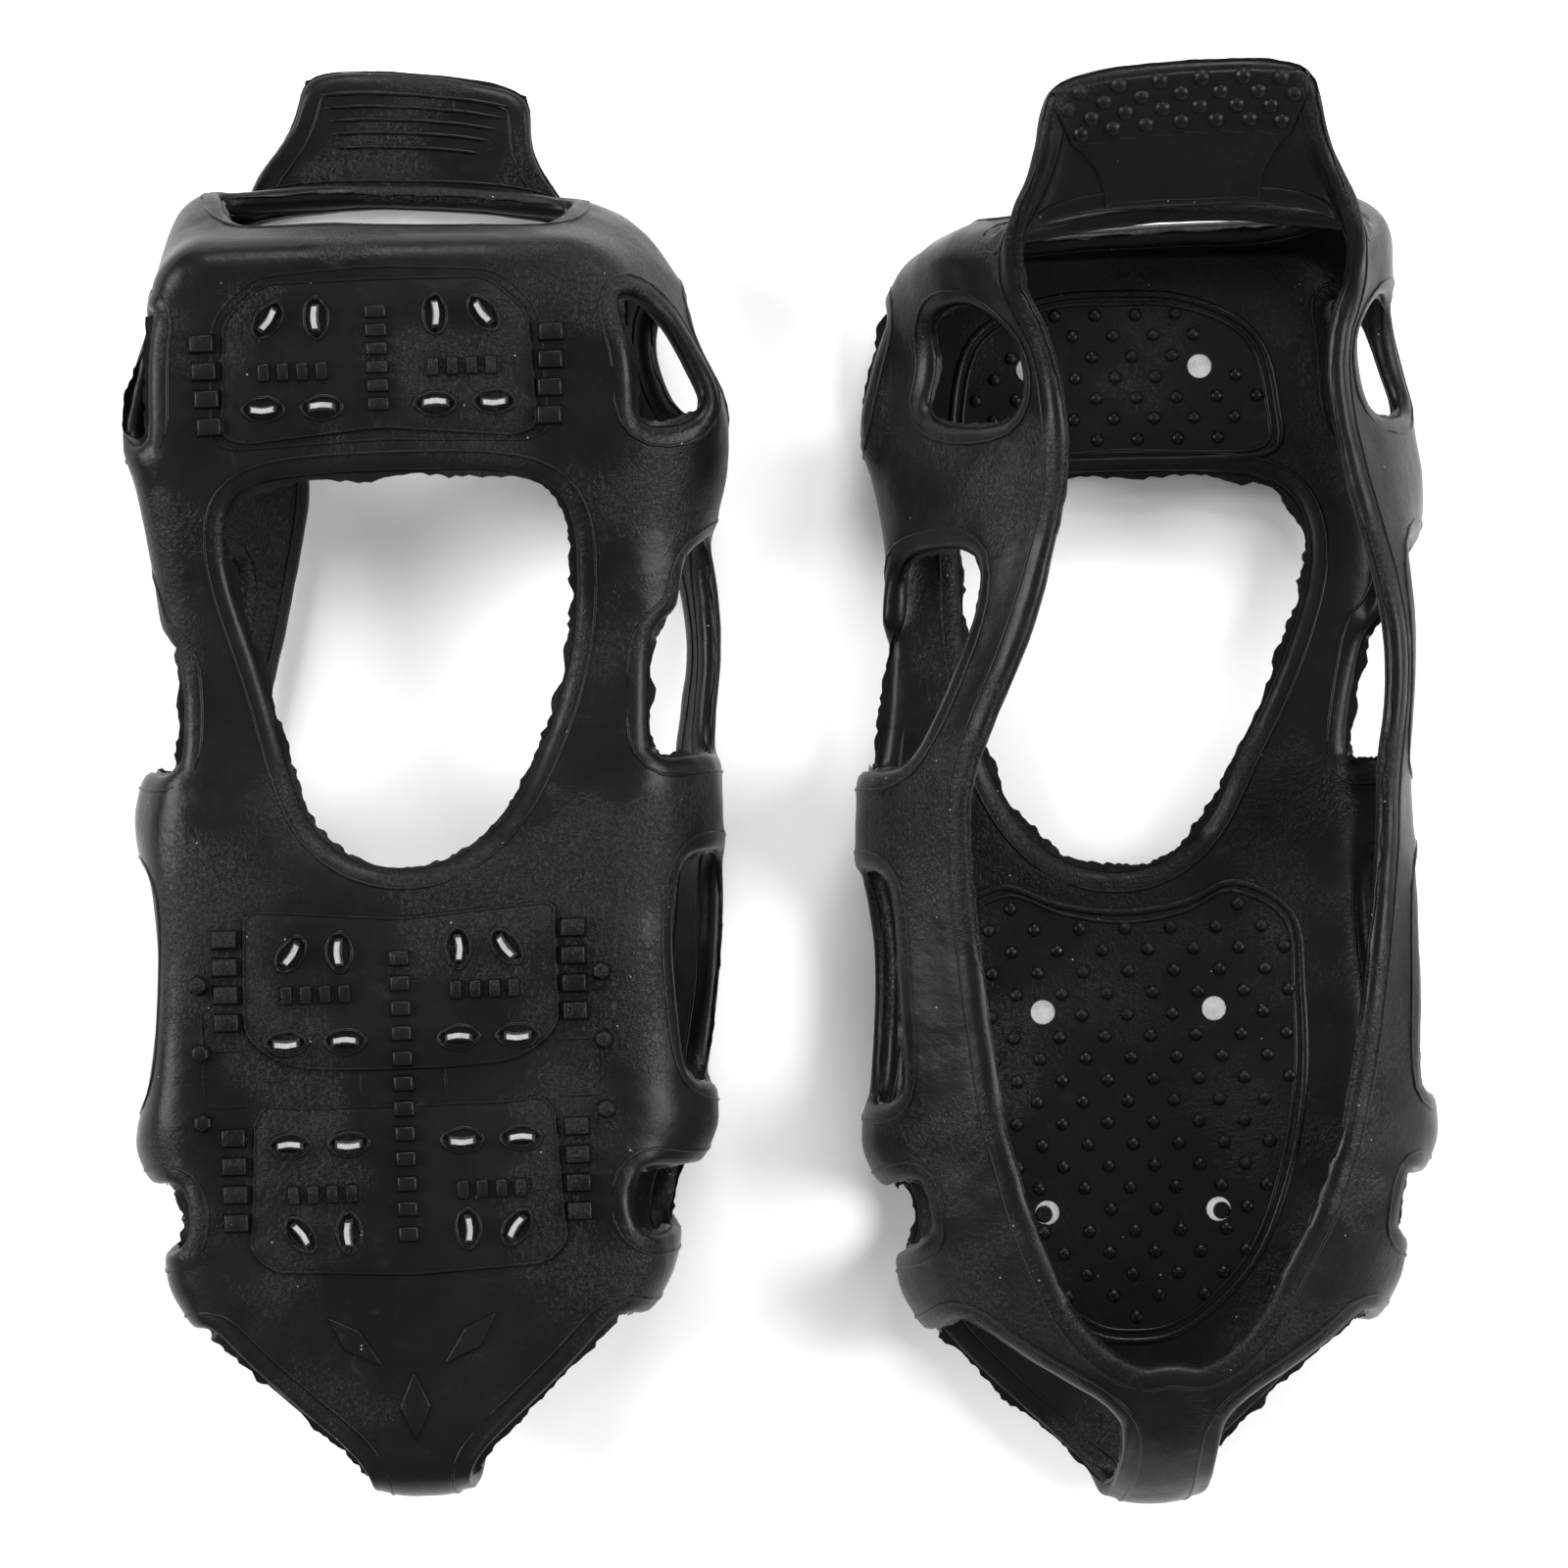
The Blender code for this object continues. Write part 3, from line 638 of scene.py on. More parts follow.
def steel_material(name, seed):
    """Stamped stainless steel: bright, with fine rub lines and duller patches."""
    material, tree, shader = new_material(name)
    links = tree.links
    place = node(tree, "ShaderNodeTexCoord").outputs["Object"]
    stretched = node(tree, "ShaderNodeMapping")
    stretched.inputs["Location"].default_value = (seed, 0, seed)
    stretched.inputs["Scale"].default_value = (1.0, 0.12, 1.0)
    links.new(place, stretched.inputs["Vector"])
    lines = noise_of(tree, stretched.outputs["Vector"], 4200.0, 4.0, 0.6)
    stain = noise_of(tree, place, 420.0, 4.0, 0.6)
    colour = node(tree, "ShaderNodeMix", data_type="RGBA")
    colour.inputs["A"].default_value = (0.96, 0.96, 0.96, 1)
    colour.inputs["B"].default_value = (0.72, 0.72, 0.73, 1)
    links.new(ramp(tree, stain, 0.45, 0.75, 0.0, 1.0), colour.inputs["Factor"])
    links.new(colour.outputs["Result"], shader.inputs["Base Color"])
    shader.inputs["Metallic"].default_value = 1.0
    links.new(ramp(tree, lines, 0.3, 0.8, 0.16, 0.36), shader.inputs["Roughness"])
    dented = bump(tree, stain, 0.5, 0.00025)
    links.new(bump(tree, lines, 0.25, 0.00003, dented), shader.inputs["Normal"])
    return material


# ---------------------------------------------------------------- the moulded body

def fused_cage(pose):
    """The harness and its heel strap as one sheet."""
    cage = harness_cage()
    for name in cage.points:
        cage.points[name] = settle_point(cage.points[name], pose)
    strap = strap_cage(pose)
    last = len(STRAP_EDGES) - 1
    rows = len(STATIONS)
    root = {0: rows, 1: rows - 1, 2: rows - 2}
    renamed = {}
    for (k, level), point in strap.points.items():
        if abs(k) == last:
            renamed[(k, level)] = (root[level], 3 if k > 0 else -3, 4)
        else:
            renamed[(k, level)] = ("strap", k, level)
            cage.put(renamed[(k, level)], settle_point(point, pose))
    for face in strap.faces:
        cage.quad(*[renamed[name] for name in face])
    return cage


def boundary_rings(bm, deepest):
    """How many edges each vertex is from an opening, up to deepest."""
    ring = {v: 0 for v in bm.verts if v.is_boundary}
    layer = list(ring)
    for depth in range(1, deepest + 1):
        after = []
        for v in layer:
            for e in v.link_edges:
                w = e.other_vert(v)
                if w not in ring:
                    ring[w] = depth
                    after.append(w)
        layer = after
    return ring


def smooth_sheet(side, pose, material):
    """The mid-surface of the whole cleat, subdivided, in the cleat frame in millimetres."""
    cage = fused_cage(pose)
    bm = cage.to_bmesh(lambda p: p / MM)
    item = to_object(f"{side}_body", bm, material)
    curve = item.modifiers.new("smooth", "SUBSURF")
    curve.levels = curve.render_levels = 2
    return bake(item)


def opening_loops(sheet):
    """Round every opening of the sheet: point, direction out of the rubber, surface normal."""
    bm = bmesh.new()
    bm.from_mesh(sheet)
    bm.normal_update()
    left = {e for e in bm.edges if e.is_boundary}
    loops = []
    while left:
        edge = min(left, key=lambda e: e.index)
        start = v = edge.verts[0]
        loop = []
        while True:
            left.discard(edge)
            w = edge.other_vert(v)
            face = edge.link_faces[0]
            middle = (v.co + w.co) / 2
            ahead = (w.co - v.co).normalized()
            inward = face.calc_center_median() - middle
            inward -= ahead * inward.dot(ahead)
            loop.append((middle, -inward.normalized(), face.normal.copy()))
            v = w
            if v == start:
                break
            edge = next(e for e in v.link_edges if e in left)
        loops.append(loop)
    bm.free()
    return loops


def flash_mesh(loops, seed):
    """The thin torn fin of rubber that the mould leaves round the openings."""
    out = bmesh.new()
    for loop in loops:
        fin(out, loop, seed)
    return out


def edge_lines(loops, tree):
    """The raised line that runs round each opening, a little way in, on both faces."""
    bm = bmesh.new()
    for loop in loops:
        for face in (-1, 1):
            path, normals = [], []
            count = len(loop)
            for k in range(count):
                around = [loop[(k + o) % count] for o in (-1, 0, 1)]
                place = sum((a[0] for a in around), Vector()) / 3
                outward = sum((a[1] for a in around), Vector()).normalized()
                normal = sum((a[2] for a in around), Vector()).normalized() * face
                start = place - outward * 3.9 + normal * 4.5
                hit, surface, _, _ = tree.ray_cast(start, -normal, 4.5)
                if hit is not None and surface.dot(normal) > 0.3:
                    path.append(hit)
                    normals.append(surface)
                elif len(path) > 4:
                    cord_of(bm, path, normals, 0.75, 0.3, closed=False)
                    path, normals = [], []
                else:
                    path, normals = [], []
            if len(path) > 4:
                cord_of(bm, path, normals, 0.75, 0.3, closed=False)
    return bm


def fin(out, loop, seed):
    """One closed fin round one opening."""
    steps = 3
    samples = []
    count = len(loop)
    for k in range(count):
        a, b = loop[k], loop[(k + 1) % count]
        for s in range(steps):
            t = s / steps
            samples.append(tuple(x.lerp(y, t) for x, y in zip(a, b)))
    rings = []
    for place, outward, normal in samples:
        share = 1.0 if place.z < 15 else 0.55 if place.z < 36 else 0.1
        wave = noise.noise(place * 0.16 + Vector((seed, 0, 0)))
        chip = noise.noise(place * 0.75 + Vector((0, seed, 0)))
        reach = 0.1 + share * max(0.1, 0.6 + 1.3 * wave + 0.7 * chip)
        sway = noise.noise(place * 0.3 + Vector((0, 0, seed))) * 0.5
        root, tip = place - outward * 1.6, place + outward * reach + normal * sway
        rings.append([out.verts.new(root - normal * 0.25), out.verts.new(root + normal * 0.25),
                      out.verts.new(tip + normal * 0.08), out.verts.new(tip - normal * 0.08)])
    total = len(rings)
    for k in range(total):
        a, b = rings[k], rings[(k + 1) % total]
        for s in range(4):
            n = (s + 1) % 4
            out.faces.new((a[s], a[n], b[n], b[s]))


def inflate(item):
    """Gives the sheet its thickness: a bead round every opening, thinner rubber between."""
    bm = bmesh.new()
    bm.from_mesh(item.data)
    rings = boundary_rings(bm, 4)
    bead = (0.78, 1.0, 0.84, 0.76, 0.78)
    inner = SHEET / WALL
    weights = {}
    for v in bm.verts:
        depth = rings.get(v, 5)
        weight = bead[depth] if depth < 5 else inner
        if v.co.z < 9 and depth > 1 or v.co.z > 46.5:
            weight = inner
        weights[v.index] = weight
    bm.free()
    group = item.vertex_groups.new(name="bead")
    for index, weight in weights.items():
        group.add([index], weight, "REPLACE")
    solid = item.modifiers.new("thickness", "SOLIDIFY")
    solid.thickness = WALL
    solid.offset = 0.0
    solid.vertex_group = "bead"
    smooth = item.modifiers.new("smooth", "SUBSURF")
    smooth.levels = smooth.render_levels = 1
    bake(item)
    item.vertex_groups.clear()


def roughen(item, seed):
    """The slight unevenness of soft rubber; the flat sole stays flat."""
    mesh = item.data
    for v in mesh.vertices:
        free = max(0.0, min(1.0, (v.co.z - 4.0) / 8.0))
        if free:
            wave = noise.noise(v.co * 0.07 + Vector((seed, 0, 0))) * 0.35
            wave += noise.noise(v.co * 0.22 + Vector((0, seed, 0))) * 0.14
            v.co += v.normal * wave * free
    mesh.update()


SLIT = (7.2, 4.0)  # the lens-shaped slit round each tooth: length, width


def slit_shapes(pose, low, high, grow=0.0):
    bm = bmesh.new()
    for _, _, teeth in plate_spots(pose):
        for x, y, turn in teeth:
            prism(bm, lens(x, y, SLIT[0] + grow, SLIT[1] + grow, turn), low, high)
    return bm


def pocket_shapes(pose):
    bm = bmesh.new()
    for (x, y), _, _ in plate_spots(pose):
        prism(bm, plate_outline(x, y, GAP), SHEET / 2 - 0.9, SHEET / 2 + 0.9)
    return bm


def plate_outline(x, y, margin):
    wide, long = PLATE[0] / 2 + margin, PLATE[1] / 2 + margin
    corners = [(x - wide, y - long), (x + wide, y - long), (x + wide, y + long), (x - wide, y + long)]
    return rounded(corners, PLATE_CORNER)


def circle(x, y, radius, count=28):
    return [(x + radius * math.cos(2 * math.pi * k / count), y + radius * math.sin(2 * math.pi * k / count))
            for k in range(count)]


def hole_shapes(pose):
    bm = bmesh.new()
    for (x, _), hole_y, _ in plate_spots(pose):
        prism(bm, circle(x, hole_y, HOLE_R), SHEET / 2, SHEET + 3)
    return bm


def combine(item, other_bm, operation, solver="EXACT"):
    """Adds the closed shapes to the item, or cuts them out of it."""
    other = to_object("tool", other_bm, item.data.materials[0])
    tool = item.modifiers.new("tool", "BOOLEAN")
    tool.operation, tool.solver, tool.object = operation, solver, other
    bake(item)
    bpy.data.objects.remove(other, do_unlink=True)


def cut_sole(body, pose):
    """Cuts the plates' pockets, the slits for the teeth and the round holes."""
    cutter = to_object("cutter", pocket_shapes(pose), body.data.materials[0])
    combine(cutter, slit_shapes(pose, -3.0, SHEET / 2), "UNION")
    combine(cutter, hole_shapes(pose), "UNION")
    bm = bmesh.new()
    bm.from_mesh(cutter.data)
    bpy.data.objects.remove(cutter, do_unlink=True)
    combine(body, bm, "DIFFERENCE", "MANIFOLD")


# ---------------------------------------------------------------- moulded details

PANEL_Z = 0.6  # how far the tread panels stand out of the underside
FRONT_PANEL = [
    (-29.5, -22.6), (-24.0, -22.8), (0.0, -24.4), (24.0, -22.8), (29.5, -22.6), (30.0, -45.5), (26.5, -49.5),
    (20.5, -52.6), (7.7, -53.6), (-7.7, -53.6), (-20.5, -52.6), (-26.5, -49.5), (-30.0, -45.5),
]
TOE_PANEL = [
    (-28.5, -62.0), (-26.5, -59.0), (-19.5, -59.7), (-7.7, -59.4), (7.7, -59.4), (19.5, -59.7), (26.5, -59.0),
    (28.5, -62.0), (30.0, -87.0), (26.0, -90.7), (0.0, -92.3), (-26.0, -90.7), (-30.0, -87.0),
]
MIDDLE_PANEL = [(-7.7, -50.0), (7.7, -50.0), (7.7, -62.5), (-7.7, -62.5)]
CHANNELS = [  # fine ridges that frame the channel between the two front panels
    [(7.9, -53.6), (7.9, -59.4)], [(28.5, -48.6), (37.2, -48.6)], [(37.2, -41.0), (37.2, -59.0)],
    [(28.5, -59.2), (37.2, -59.2)],
]
HEEL_PANEL = [(-30.0, 66.0), (-26.0, 64.5), (0.0, 66.5), (26.0, 64.5), (30.0, 66.0), (29.0, 88.0), (21.5, 95.0),
              (0.0, 95.6), (-21.5, 95.0), (-29.0, 88.0)]
RHOMBI = [
    [(16.0, -99.0), (9.6, -101.6), (5.4, -108.9), (13.0, -105.8)],
    [(-16.0, -99.0), (-13.0, -105.8), (-5.4, -108.9), (-9.6, -101.6)],
    [(0.0, -109.6), (3.3, -116.4), (0.0, -123.2), (-3.3, -116.4)],
]


def tread_mesh(pose):
    """Panels and rhombi on the underside."""
    bm = bmesh.new()
    for outline in (FRONT_PANEL, TOE_PANEL, HEEL_PANEL):
        prism(bm, rounded(outline, 3.0), 0.8, -PANEL_Z, 0.35)
    prism(bm, MIDDLE_PANEL, 0.8, -PANEL_Z + 0.02, 0.1)
    for outline in RHOMBI:
        prism(bm, outline, 0.8, -0.7, 0.5)
    return bm


def seam_mesh(pose):
    """Fine raised lines round the panels and the channel, and the webs of rubber inside the slits."""
    bm = bmesh.new()
    down = Vector((0, 0, -1))
    for outline in (FRONT_PANEL, TOE_PANEL, HEEL_PANEL):
        path = [Vector((*p, -PANEL_Z)) for p in smooth_line(shrunk(rounded(outline, 3.0), 0.7), 2, True)]
        cord_of(bm, path, [down] * len(path), 0.6, 0.22)
    path = [Vector((*p, 0.0)) for p in smooth_line(shrunk(rounded(HEEL_PANEL, 4.0), -1.6), 2, True)]
    cord_of(bm, path, [down] * len(path), 0.6, 0.25)
    for side in (-1, 1):
        for (x0, y0), (x1, y1) in CHANNELS:
            path = [Vector((side * (x0 + (x1 - x0) * k / 6), y0 + (y1 - y0) * k / 6, 0.0)) for k in range(7)]
            cord_of(bm, path, [down] * len(path), 0.7, 0.28, closed=False)
    for _, _, teeth in plate_spots(pose):
        for x, y, turn in teeth:
            prism(bm, lens(x, y, SLIT[0] + 0.3, SLIT[1] + 0.3, turn), 1.2, 0.85)
    return bm


def block_mesh(pose):
    """The small tread blocks and pegs."""
    bm = bmesh.new()
    low = 0.8
    for side in (-1, 1):
        for row in range(4):
            for first, pitch, x in ((-27.8, 5.2, 32.5), (-65.0, 5.3, 32.0)):
                block(bm, side * x, first - pitch * row, 5.4, 3.9, low, -2.5, 0.7)
            block(bm, side * (32.6 - 0.3 * row), 83.8 - 5.2 * row, 5.4, 3.9, low, -2.7, 0.7)
        for first in (-38.7, -76.1, 78.0):
            for k in range(4):
                block(bm, side * (10.4 + 3.6 * k), first, 2.7, 4.2, low, -2.0, 0.6)
        for y in (-36.2, -49.0, -62.0):
            outline = [(side * 37.6 + 2.15 * math.cos(math.pi * k / 3 + 0.5), y + 2.15 * math.sin(math.pi * k / 3 + 0.5))
                       for k in range(6)]
            prism(bm, outline, low, -2.5, 0.55)
    for k in range(12):
        block(bm, 0.0, -32.4 - 4.7 * k, 4.6, 3.5, low, -2.4, 0.75)
    for k in range(6):
        block(bm, 0.0, 88.7 - 3.46 * k, 4.8, 2.8, low, -2.3, 0.6)
    return bm


PAD_EDGE = [(-31.5, -24.0), (-33.0, -38.0), (-33.0, -56.0), (-29.5, -74.0), (-22.5, -90.0), (-10.0, -101.5), (0.0, -104.0),
            (10.0, -101.5), (22.5, -90.0), (29.5, -74.0), (33.0, -56.0), (33.0, -38.0), (31.5, -24.0), (22.0, -18.4),
            (12.0, -22.0), (0.0, -23.6), (-12.0, -22.0), (-22.0, -18.4)]
HEEL_PAD_EDGE = [(-29.0, 62.5), (-30.5, 72.0), (-26.5, 84.5), (-14.0, 91.0), (0.0, 92.2), (14.0, 91.0), (26.5, 84.5),
                 (30.5, 72.0), (29.0, 62.5), (14.0, 61.0), (0.0, 61.0), (-14.0, 61.0)]


def inside(point, outline):
    x, y = point
    odd = False
    for k in range(len(outline)):
        (x0, y0), (x1, y1) = outline[k - 1], outline[k]
        if (y0 > y) != (y1 > y) and x < (x1 - x0) * (y - y0) / (y1 - y0) + x0:
            odd = not odd
    return odd


def shrunk(outline, by):
    centre = sum((Vector(p) for p in outline), Vector((0, 0))) / len(outline)
    return [tuple(centre + (Vector(p) - centre) * (1 - by / (Vector(p) - centre).length)) for p in outline]


def drop(tree, x, y, pose):
    """The point of the bed under (x, y) of the free sole."""
    above = lay((x, y, SHEET + 7), pose)
    place, _, _, _ = tree.ray_cast(above, Vector((0, 0, -1)), 12)
    return place or lay((x, y, SHEET), pose)


def knob_mesh(pose, tree):
    """Anti-slip knobs and the double outline on the bed inside the cleat."""
    bm = bmesh.new()
    up, across = Vector((0, 0, 1)), Vector((1, 0, 0))
    holes = [Vector((x, hole_y)) for (x, _), hole_y, _ in plate_spots(pose)]
    for edge, pitch_x, pitch_y, radius, margin in ((PAD_EDGE, 8.6, 4.05, 1.25, 2.6), (HEEL_PAD_EDGE, 7.6, 3.9, 1.2, 3.2)):
        ys = [p[1] for p in edge]
        inner = shrunk(edge, margin)
        row = 0
        y = max(ys)
        while y > min(ys):
            for k in range(-6, 7):
                x = (k + (0.5 if row % 2 else 0.0)) * pitch_x + 0.4 * math.sin(1.7 * row)
                spot = drop(tree, x, y, pose)
                if inside((x, y), inner) and all((spot.xy - h).length > HOLE_R + radius for h in holes):
                    dome(bm, spot, across, up, radius, 0.85)
            y -= pitch_y
            row += 1
        for by, wide, high in ((0.0, 1.5, 0.42), (1.9, 0.9, 0.3)):
            path = [drop(tree, *p, pose) for p in smooth_line(shrunk(edge, by), 5, True)]
            cord_of(bm, path, [up] * len(path), wide, high)
    return bm


def slit_rims(pose):
    """The raised lips of rubber round the slits."""
    bm = bmesh.new()
    down = Vector((0, 0, -1))
    for _, _, teeth in plate_spots(pose):
        for x, y, turn in teeth:
            path = []
            for px, py in lens(x, y, SLIT[0] + 0.6, SLIT[1] + 0.6, turn, 9):
                spot = Vector((px, py, -PANEL_Z + 0.05))
                path.append(spot + noise.noise_vector(spot * 0.9) * 0.28)
            cord_of(bm, path, [down] * len(path), 0.8, 0.42)
    return bm


def plug_mesh(pose):
    """Rubber that fills most of the round holes over the two toe plates."""
    bm = bmesh.new()
    for (x, _), hole_y, _ in list(plate_spots(pose))[4:]:
        shift = math.copysign(0.6, x)
        prism(bm, circle(x + shift, hole_y - 0.3, 1.65, 24), SHEET / 2 + 0.55, SHEET - 0.4, 0.25)
    return bm


# ---------------------------------------------------------------- the steel

TOOTH_LEVELS = (  # height, width, thickness, sideways bend
    (SHEET / 2 + 0.3, 5.2, 1.2, 0.0), (0.4, 5.2, 1.2, 0.0), (-1.2, 5.0, 1.2, 0.05), (-2.9, 4.7, 1.2, 0.15),
    (TOOTH_TIP_Z + 0.25, 4.3, 1.2, 0.3), (TOOTH_TIP_Z, 4.0, 0.9, 0.35),
)


def tooth(bm, x, y, turn, bend):
    """A bent, tapered prong, from the plate down to its blunt tip."""
    columns = (-1.0, -0.6, -0.2, 0.2, 0.6, 1.0)
    turned = Matrix.Rotation(turn, 3, "Z")
    rings = []
    for z, width, thick, lean in TOOTH_LEVELS:
        ring = []
        for side in (1, -1):
            for u in (columns if side > 0 else columns[::-1]):
                sag = (0.3 * (0.4 - abs(u)) + lean) * bend
                local = Vector((side * thick / 2 + sag, u * width / 2, 0))
                ring.append(bm.verts.new(turned @ local + Vector((x, y, z))))
        rings.append(ring)
    count = len(rings[0])
    for a, b in zip(rings, rings[1:]):
        for k in range(count):
            n = (k + 1) % count
            bm.faces.new((a[k], a[n], b[n], b[k]))
    for ring in (rings[0], rings[-1]):
        for k in range(count // 2 - 1):
            bm.faces.new((ring[k], ring[k + 1], ring[count - 2 - k], ring[count - 1 - k]))


def plate_mesh(spot, teeth, number):
    bm = bmesh.new()
    prism(bm, plate_outline(*spot, 0.0), SHEET / 2 - 0.5, SHEET / 2 + 0.5)
    for k, (x, y, turn) in enumerate(teeth):
        tooth(bm, x, y, turn, 1 if (k + number) % 2 else -1)
    return bm


# ---------------------------------------------------------------- details on the strap

def strap_grid(pose, settle=True):
    """A function that gives a point of the strap's mid-surface from (across -1..1, up 0..1)."""
    cage = strap_cage(pose)
    last = len(STRAP_EDGES) - 1

    def at(u, v):
        s = u * last
        k = max(-last, min(last - 1, math.floor(s)))
        w = v * 2
        level = min(1, int(w))
        a = cage.points[(k, level)].lerp(cage.points[(k + 1, level)], s - k)
        b = cage.points[(k, level + 1)].lerp(cage.points[(k + 1, level + 1)], s - k)
        return settle_point(a.lerp(b, w - level), pose)
    return at


def on_surface(tree, at, u, v, outward):
    """The body's surface point and normal over a point of the strap."""
    here = at(u, v)
    normal = (at(u + 0.02, v) - at(u - 0.02, v)).cross(at(u, min(v + 0.05, 1)) - at(u, max(v - 0.05, 0))).normalized()
    normal *= outward
    place, surface, _, _ = tree.ray_cast(here + normal * 6, -normal, 9)
    return (place, surface) if place else (here + normal * SHEET / 2, normal)


def strap_pad(bm, surface, rise):
    """The smooth raised pad inside the strap: waisted at its lower half, with an uneven lower edge."""
    def shares(count):
        return [0.0, 0.008, 0.025] + [0.025 + 0.95 * k / count for k in range(1, count)] + [0.975, 0.992, 1.0]

    rises = (-0.2, rise * 0.75, rise)
    columns, levels = shares(24), shares(18)
    fronts, backs = [], []
    for j, level in enumerate(levels):
        v = 0.06 + 0.9 * level
        waist = 0.085 * math.sin(math.pi * min(1.0, v / 0.62)) ** 1.5 if v < 0.62 else 0.0
        front, back = [], []
        for k, share in enumerate(columns):
            u = (0.37 - waist) * (2 * share - 1)
            torn = 0.012 * noise.noise(Vector((u * 22, 0.0, 1.0))) * (1 - level)
            place, normal = surface(u, v + torn)
            depth = min(j, k, len(levels) - 1 - j, len(columns) - 1 - k, 2)
            front.append(bm.verts.new(place + normal * rises[depth]))
            back.append(bm.verts.new(place - normal * 0.6))
        fronts.append(front)
        backs.append(back)
    for rows, order in ((fronts, 1), (backs, -1)):
        for a, b in zip(rows, rows[1:]):
            for k in range(len(columns) - 1):
                bm.faces.new((a[k], a[k + 1], b[k + 1], b[k])[::order])
    rims = [rows[0] + [r[-1] for r in rows[1:-1]] + rows[-1][::-1] + [r[0] for r in rows[-2:0:-1]]
            for rows in (fronts, backs)]
    for k in range(len(rims[0])):
        bm.faces.new((rims[0][k], rims[0][k - 1], rims[1][k - 1], rims[1][k]))


def strap_details(pose, tree):
    """Ribs on the outer face of the strap's tab; knobs and folds on its inner face."""
    at = strap_grid(pose)
    ribs, knobs = bmesh.new(), bmesh.new()
    outer, inner = -1, 1
    rise = 0.7 - 0.5 * pose["flatten"]
    knob_height = 0.85 - 0.5 * pose["flatten"]

    def line(bm, places, face, wide, high):
        hits = [on_surface(tree, at, u, v, face) for u, v in places]
        cord_of(bm, [p for p, _ in hits], [n for _, n in hits], wide, high, closed=False)

    for k in range(5):
        v = 0.40 + 0.105 * k
        line(ribs, [(-0.27 + 0.54 * s / 26, v) for s in range(27)], outer, 0.9, 0.4)
    for row in range(4):
        v = 0.60 + 0.105 * row
        for k in range(-3, 4):
            u = (k + (0.5 if row % 2 else 0)) * 0.088
            if abs(u) < 0.28:
                place, normal = on_surface(tree, at, u, v, inner)
                across = normal.cross(Vector((0, 0.3, 1))).normalized()
                dome(knobs, place + normal * rise, across, normal, 1.5, knob_height)
    crease = [on_surface(tree, at, -0.3 + 0.6 * k / 30, 0.5 + 0.012 * math.sin(k * 1.3), inner) for k in range(31)]
    cord_of(knobs, [p + n * rise for p, n in crease], [n for _, n in crease], 0.6, 0.2, closed=False)
    strap_pad(knobs, lambda u, v: on_surface(tree, at, u, v, inner), rise)
    return ribs, knobs


# ---------------------------------------------------------------- putting it together

def build_cleat(side, pose, seed):
    rubber = rubber_material(f"{side}_rubber_look", seed)
    steel = steel_material(f"{side}_steel_look", seed)
    world = cleat_matrix(pose)
    cleat, strap = f"{side}_cleat", f"{side}_strap"

    body = smooth_sheet(side, pose, rubber)
    loops = opening_loops(body.data)
    flash = to_object(f"{side}_flash", flash_mesh(loops, seed), rubber, world)
    inflate(body)
    roughen(body, seed)
    cut_sole(body, pose)
    if pose["sole_up"]:  # the rubber that lies on the ground is pressed flat
        for v in body.data.vertices:
            v.co.z = min(v.co.z, REST_Z)
    graph = bpy.context.evaluated_depsgraph_get()
    tree = BVHTree.FromObject(body, graph)
    ribs, knobs = strap_details(pose, tree)
    beads = to_object(f"{side}_edge_lines", edge_lines(loops, tree), rubber, world)
    body.data.transform(world)
    shade(body, 50)

    tread = to_object(f"{side}_tread_panels", tread_mesh(pose), rubber)
    soften(tread, 0.18)
    combine(tread, slit_shapes(pose, -3.0, SHEET / 2, -0.06), "DIFFERENCE")
    blocks = to_object(f"{side}_tread_blocks", block_mesh(pose), rubber)
    soften(blocks, 0.3)
    for item in (tread, blocks):
        for v in item.data.vertices:
            v.co = lay(v.co, pose)
        item.data.transform(world)
        shade(item, 40)
    rims = shade(to_object(f"{side}_slit_rims", slit_rims(pose), rubber, world))
    seams = shade(to_object(f"{side}_tread_seams", seam_mesh(pose), rubber), 40)
    for v in seams.data.vertices:
        v.co = lay(v.co, pose)
    seams.data.transform(world)
    shade(beads)
    pads = shade(to_object(f"{side}_bed_knobs", knob_mesh(pose, tree), rubber, world))
    plugs = shade(to_object(f"{side}_hole_plugs", plug_mesh(pose), rubber, world), 40)
    shade(flash, 40)
    for item in (tread, blocks, seams, rims, pads, plugs):
        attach(item, cleat)

    ribs = shade(to_object(f"{side}_strap_ribs", ribs, rubber, world))
    knobs = shade(to_object(f"{side}_strap_knobs", knobs, rubber, world))
    for item in (body, flash, beads, ribs, knobs):
        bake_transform(item)
    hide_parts(f"{side}_harness", f"{side}_heel_strap")

    for number, (spot, _, teeth) in enumerate(plate_spots(pose), 1):
        plate = to_object(f"{side}_studs_{number}", plate_mesh(spot, teeth, number), steel, world)
        shade(plate, 35)
        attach(plate, cleat)
        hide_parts(f"{side}_stud_plate_{number}")


def soften(item, width):
    edge = item.modifiers.new("edges", "BEVEL")
    edge.width, edge.segments, edge.limit_method, edge.angle_limit = width, 2, "ANGLE", math.radians(25)
    bake(item)


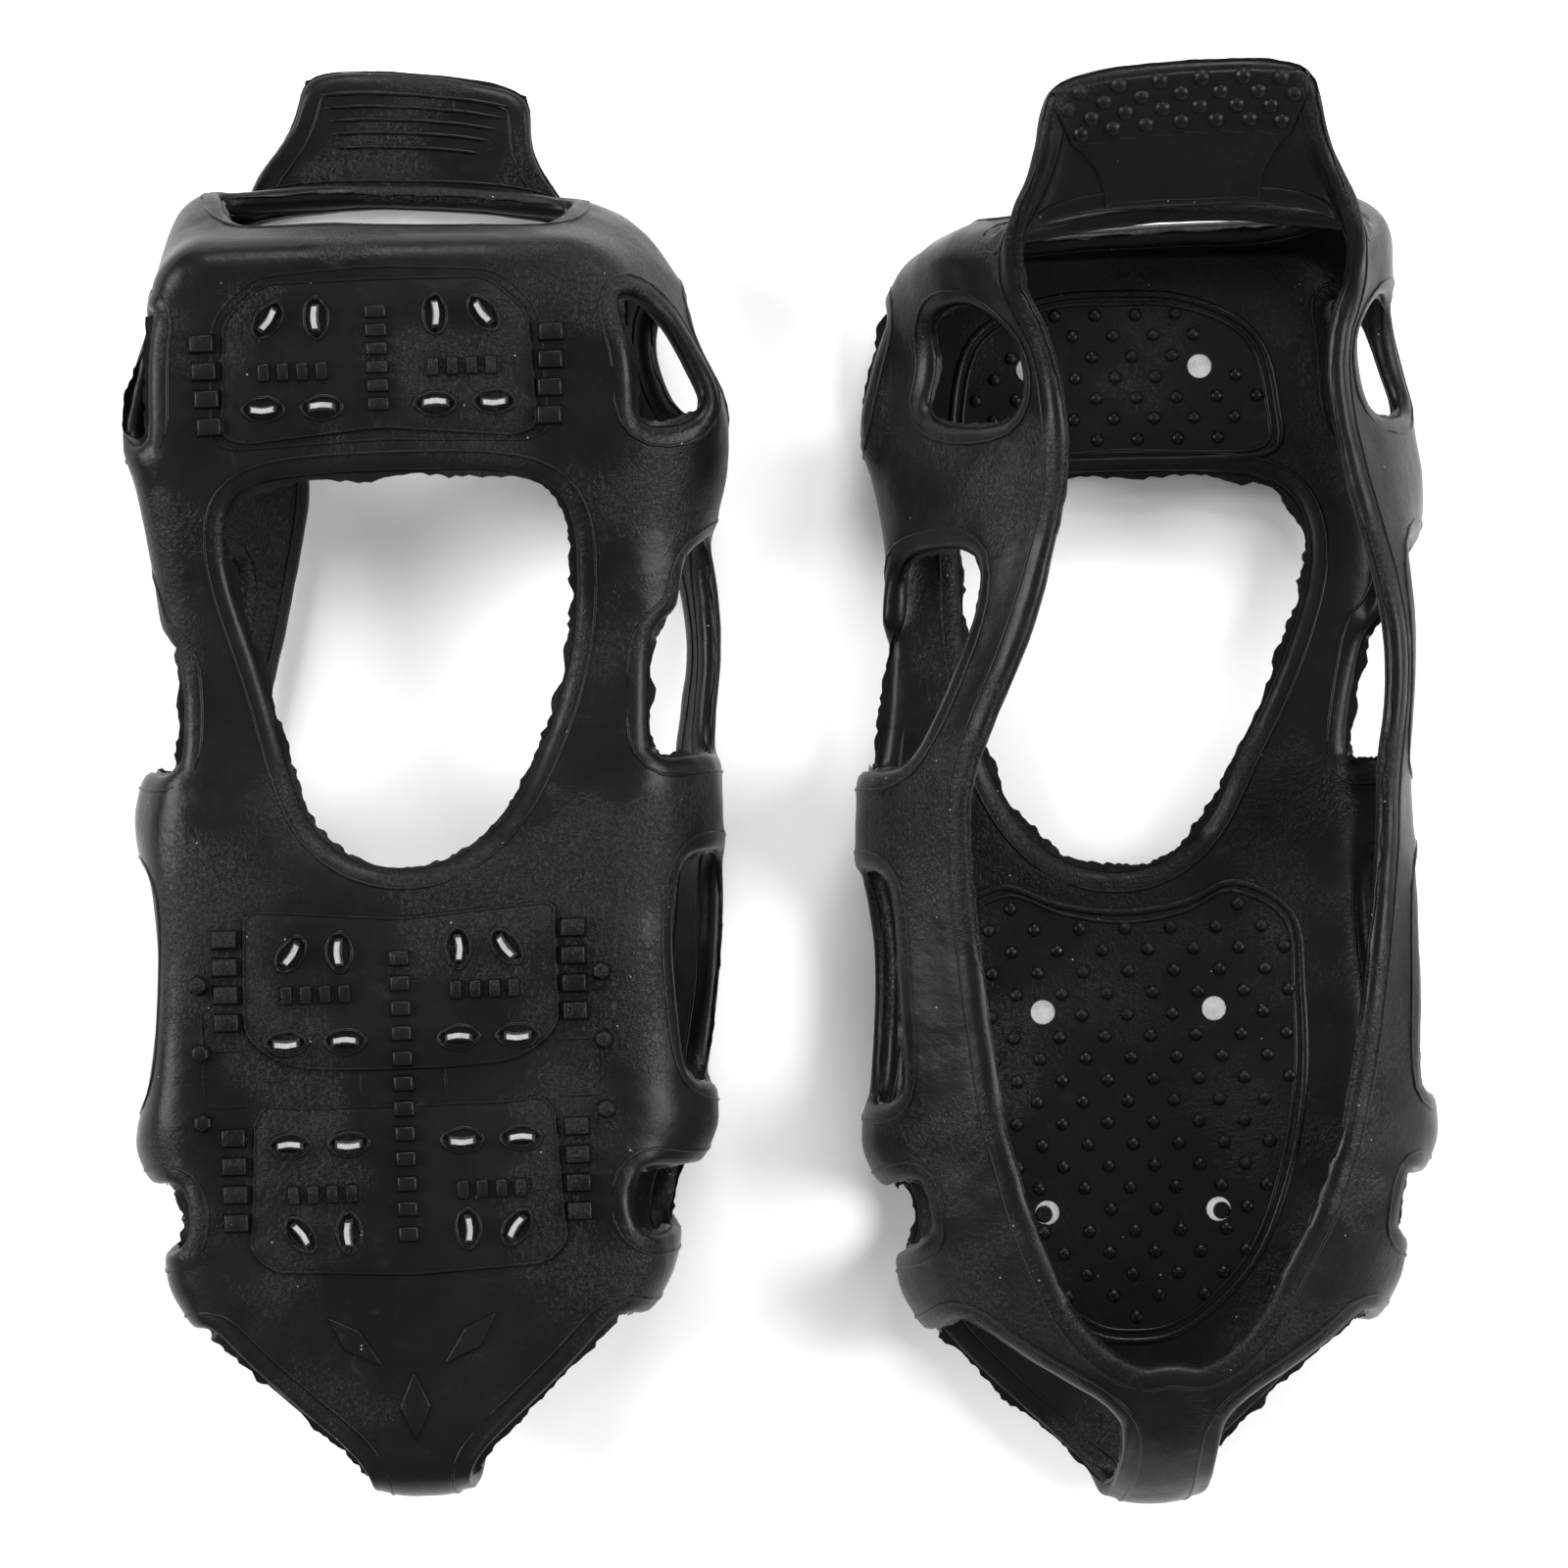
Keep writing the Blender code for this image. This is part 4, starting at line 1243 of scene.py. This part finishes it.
def add_light(name, place, size, power):
    light = bpy.data.lights.new(name, "AREA")
    light.shape, light.size, light.energy = "DISK", size, power
    item = bpy.data.objects.new(name, light)
    item.location = place
    item.rotation_euler = (-Vector(place)).to_track_quat("-Z", "Y").to_euler()
    bpy.context.scene.collection.objects.link(item)


def studio():
    """A pale floor, a soft ring of lights and a camera straight above."""
    bm = bmesh.new()
    bmesh.ops.create_grid(bm, x_segments=1, y_segments=1, size=4.0)
    material, tree, shader = new_material("floor_paper")
    shader.inputs["Roughness"].default_value = 0.9
    place = node(tree, "ShaderNodeTexCoord").outputs["Object"]
    mottle = ramp(tree, noise_of(tree, place, 30.0, 3.0), 0.3, 0.7, 0.0, 1.0)
    colour = node(tree, "ShaderNodeMix", data_type="RGBA")
    colour.inputs["A"].default_value = (0.93, 0.93, 0.93, 1)
    colour.inputs["B"].default_value = (0.95, 0.95, 0.95, 1)
    tree.links.new(mottle, colour.inputs["Factor"])
    tree.links.new(colour.outputs["Result"], shader.inputs["Base Color"])
    floor = to_object("floor", bm, material)
    floor.location.z = -0.0008

    world = bpy.data.worlds.new("studio")
    world.use_nodes = True
    background = world.node_tree.nodes["Background"]
    background.inputs["Color"].default_value = (1.0, 1.0, 1.0, 1)
    background.inputs["Strength"].default_value = 0.55
    bpy.context.scene.world = world
    add_light("left_box", (-1.5, 0.3, 1.1), 1.1, 46.0)
    add_light("right_box", (1.5, 0.1, 1.1), 1.1, 42.0)
    add_light("heel_box", (0.2, 1.6, 1.2), 1.0, 34.0)

    camera_data = bpy.data.cameras.new("camera")
    camera_data.lens = 302.4
    camera_data.sensor_width = 36.0
    camera_data.clip_start, camera_data.clip_end = 0.1, 10.0
    camera = bpy.data.objects.new("camera", camera_data)
    camera.location = (0.0, 0.0, 2.5)
    bpy.context.scene.collection.objects.link(camera)
    bpy.context.scene.camera = camera
    bpy.context.scene.view_settings.view_transform = "Standard"


for number, (side_name, side_pose) in enumerate(CLEATS.items()):
    build_cleat(side_name, side_pose, 1.7 + 3.1 * number)
studio()
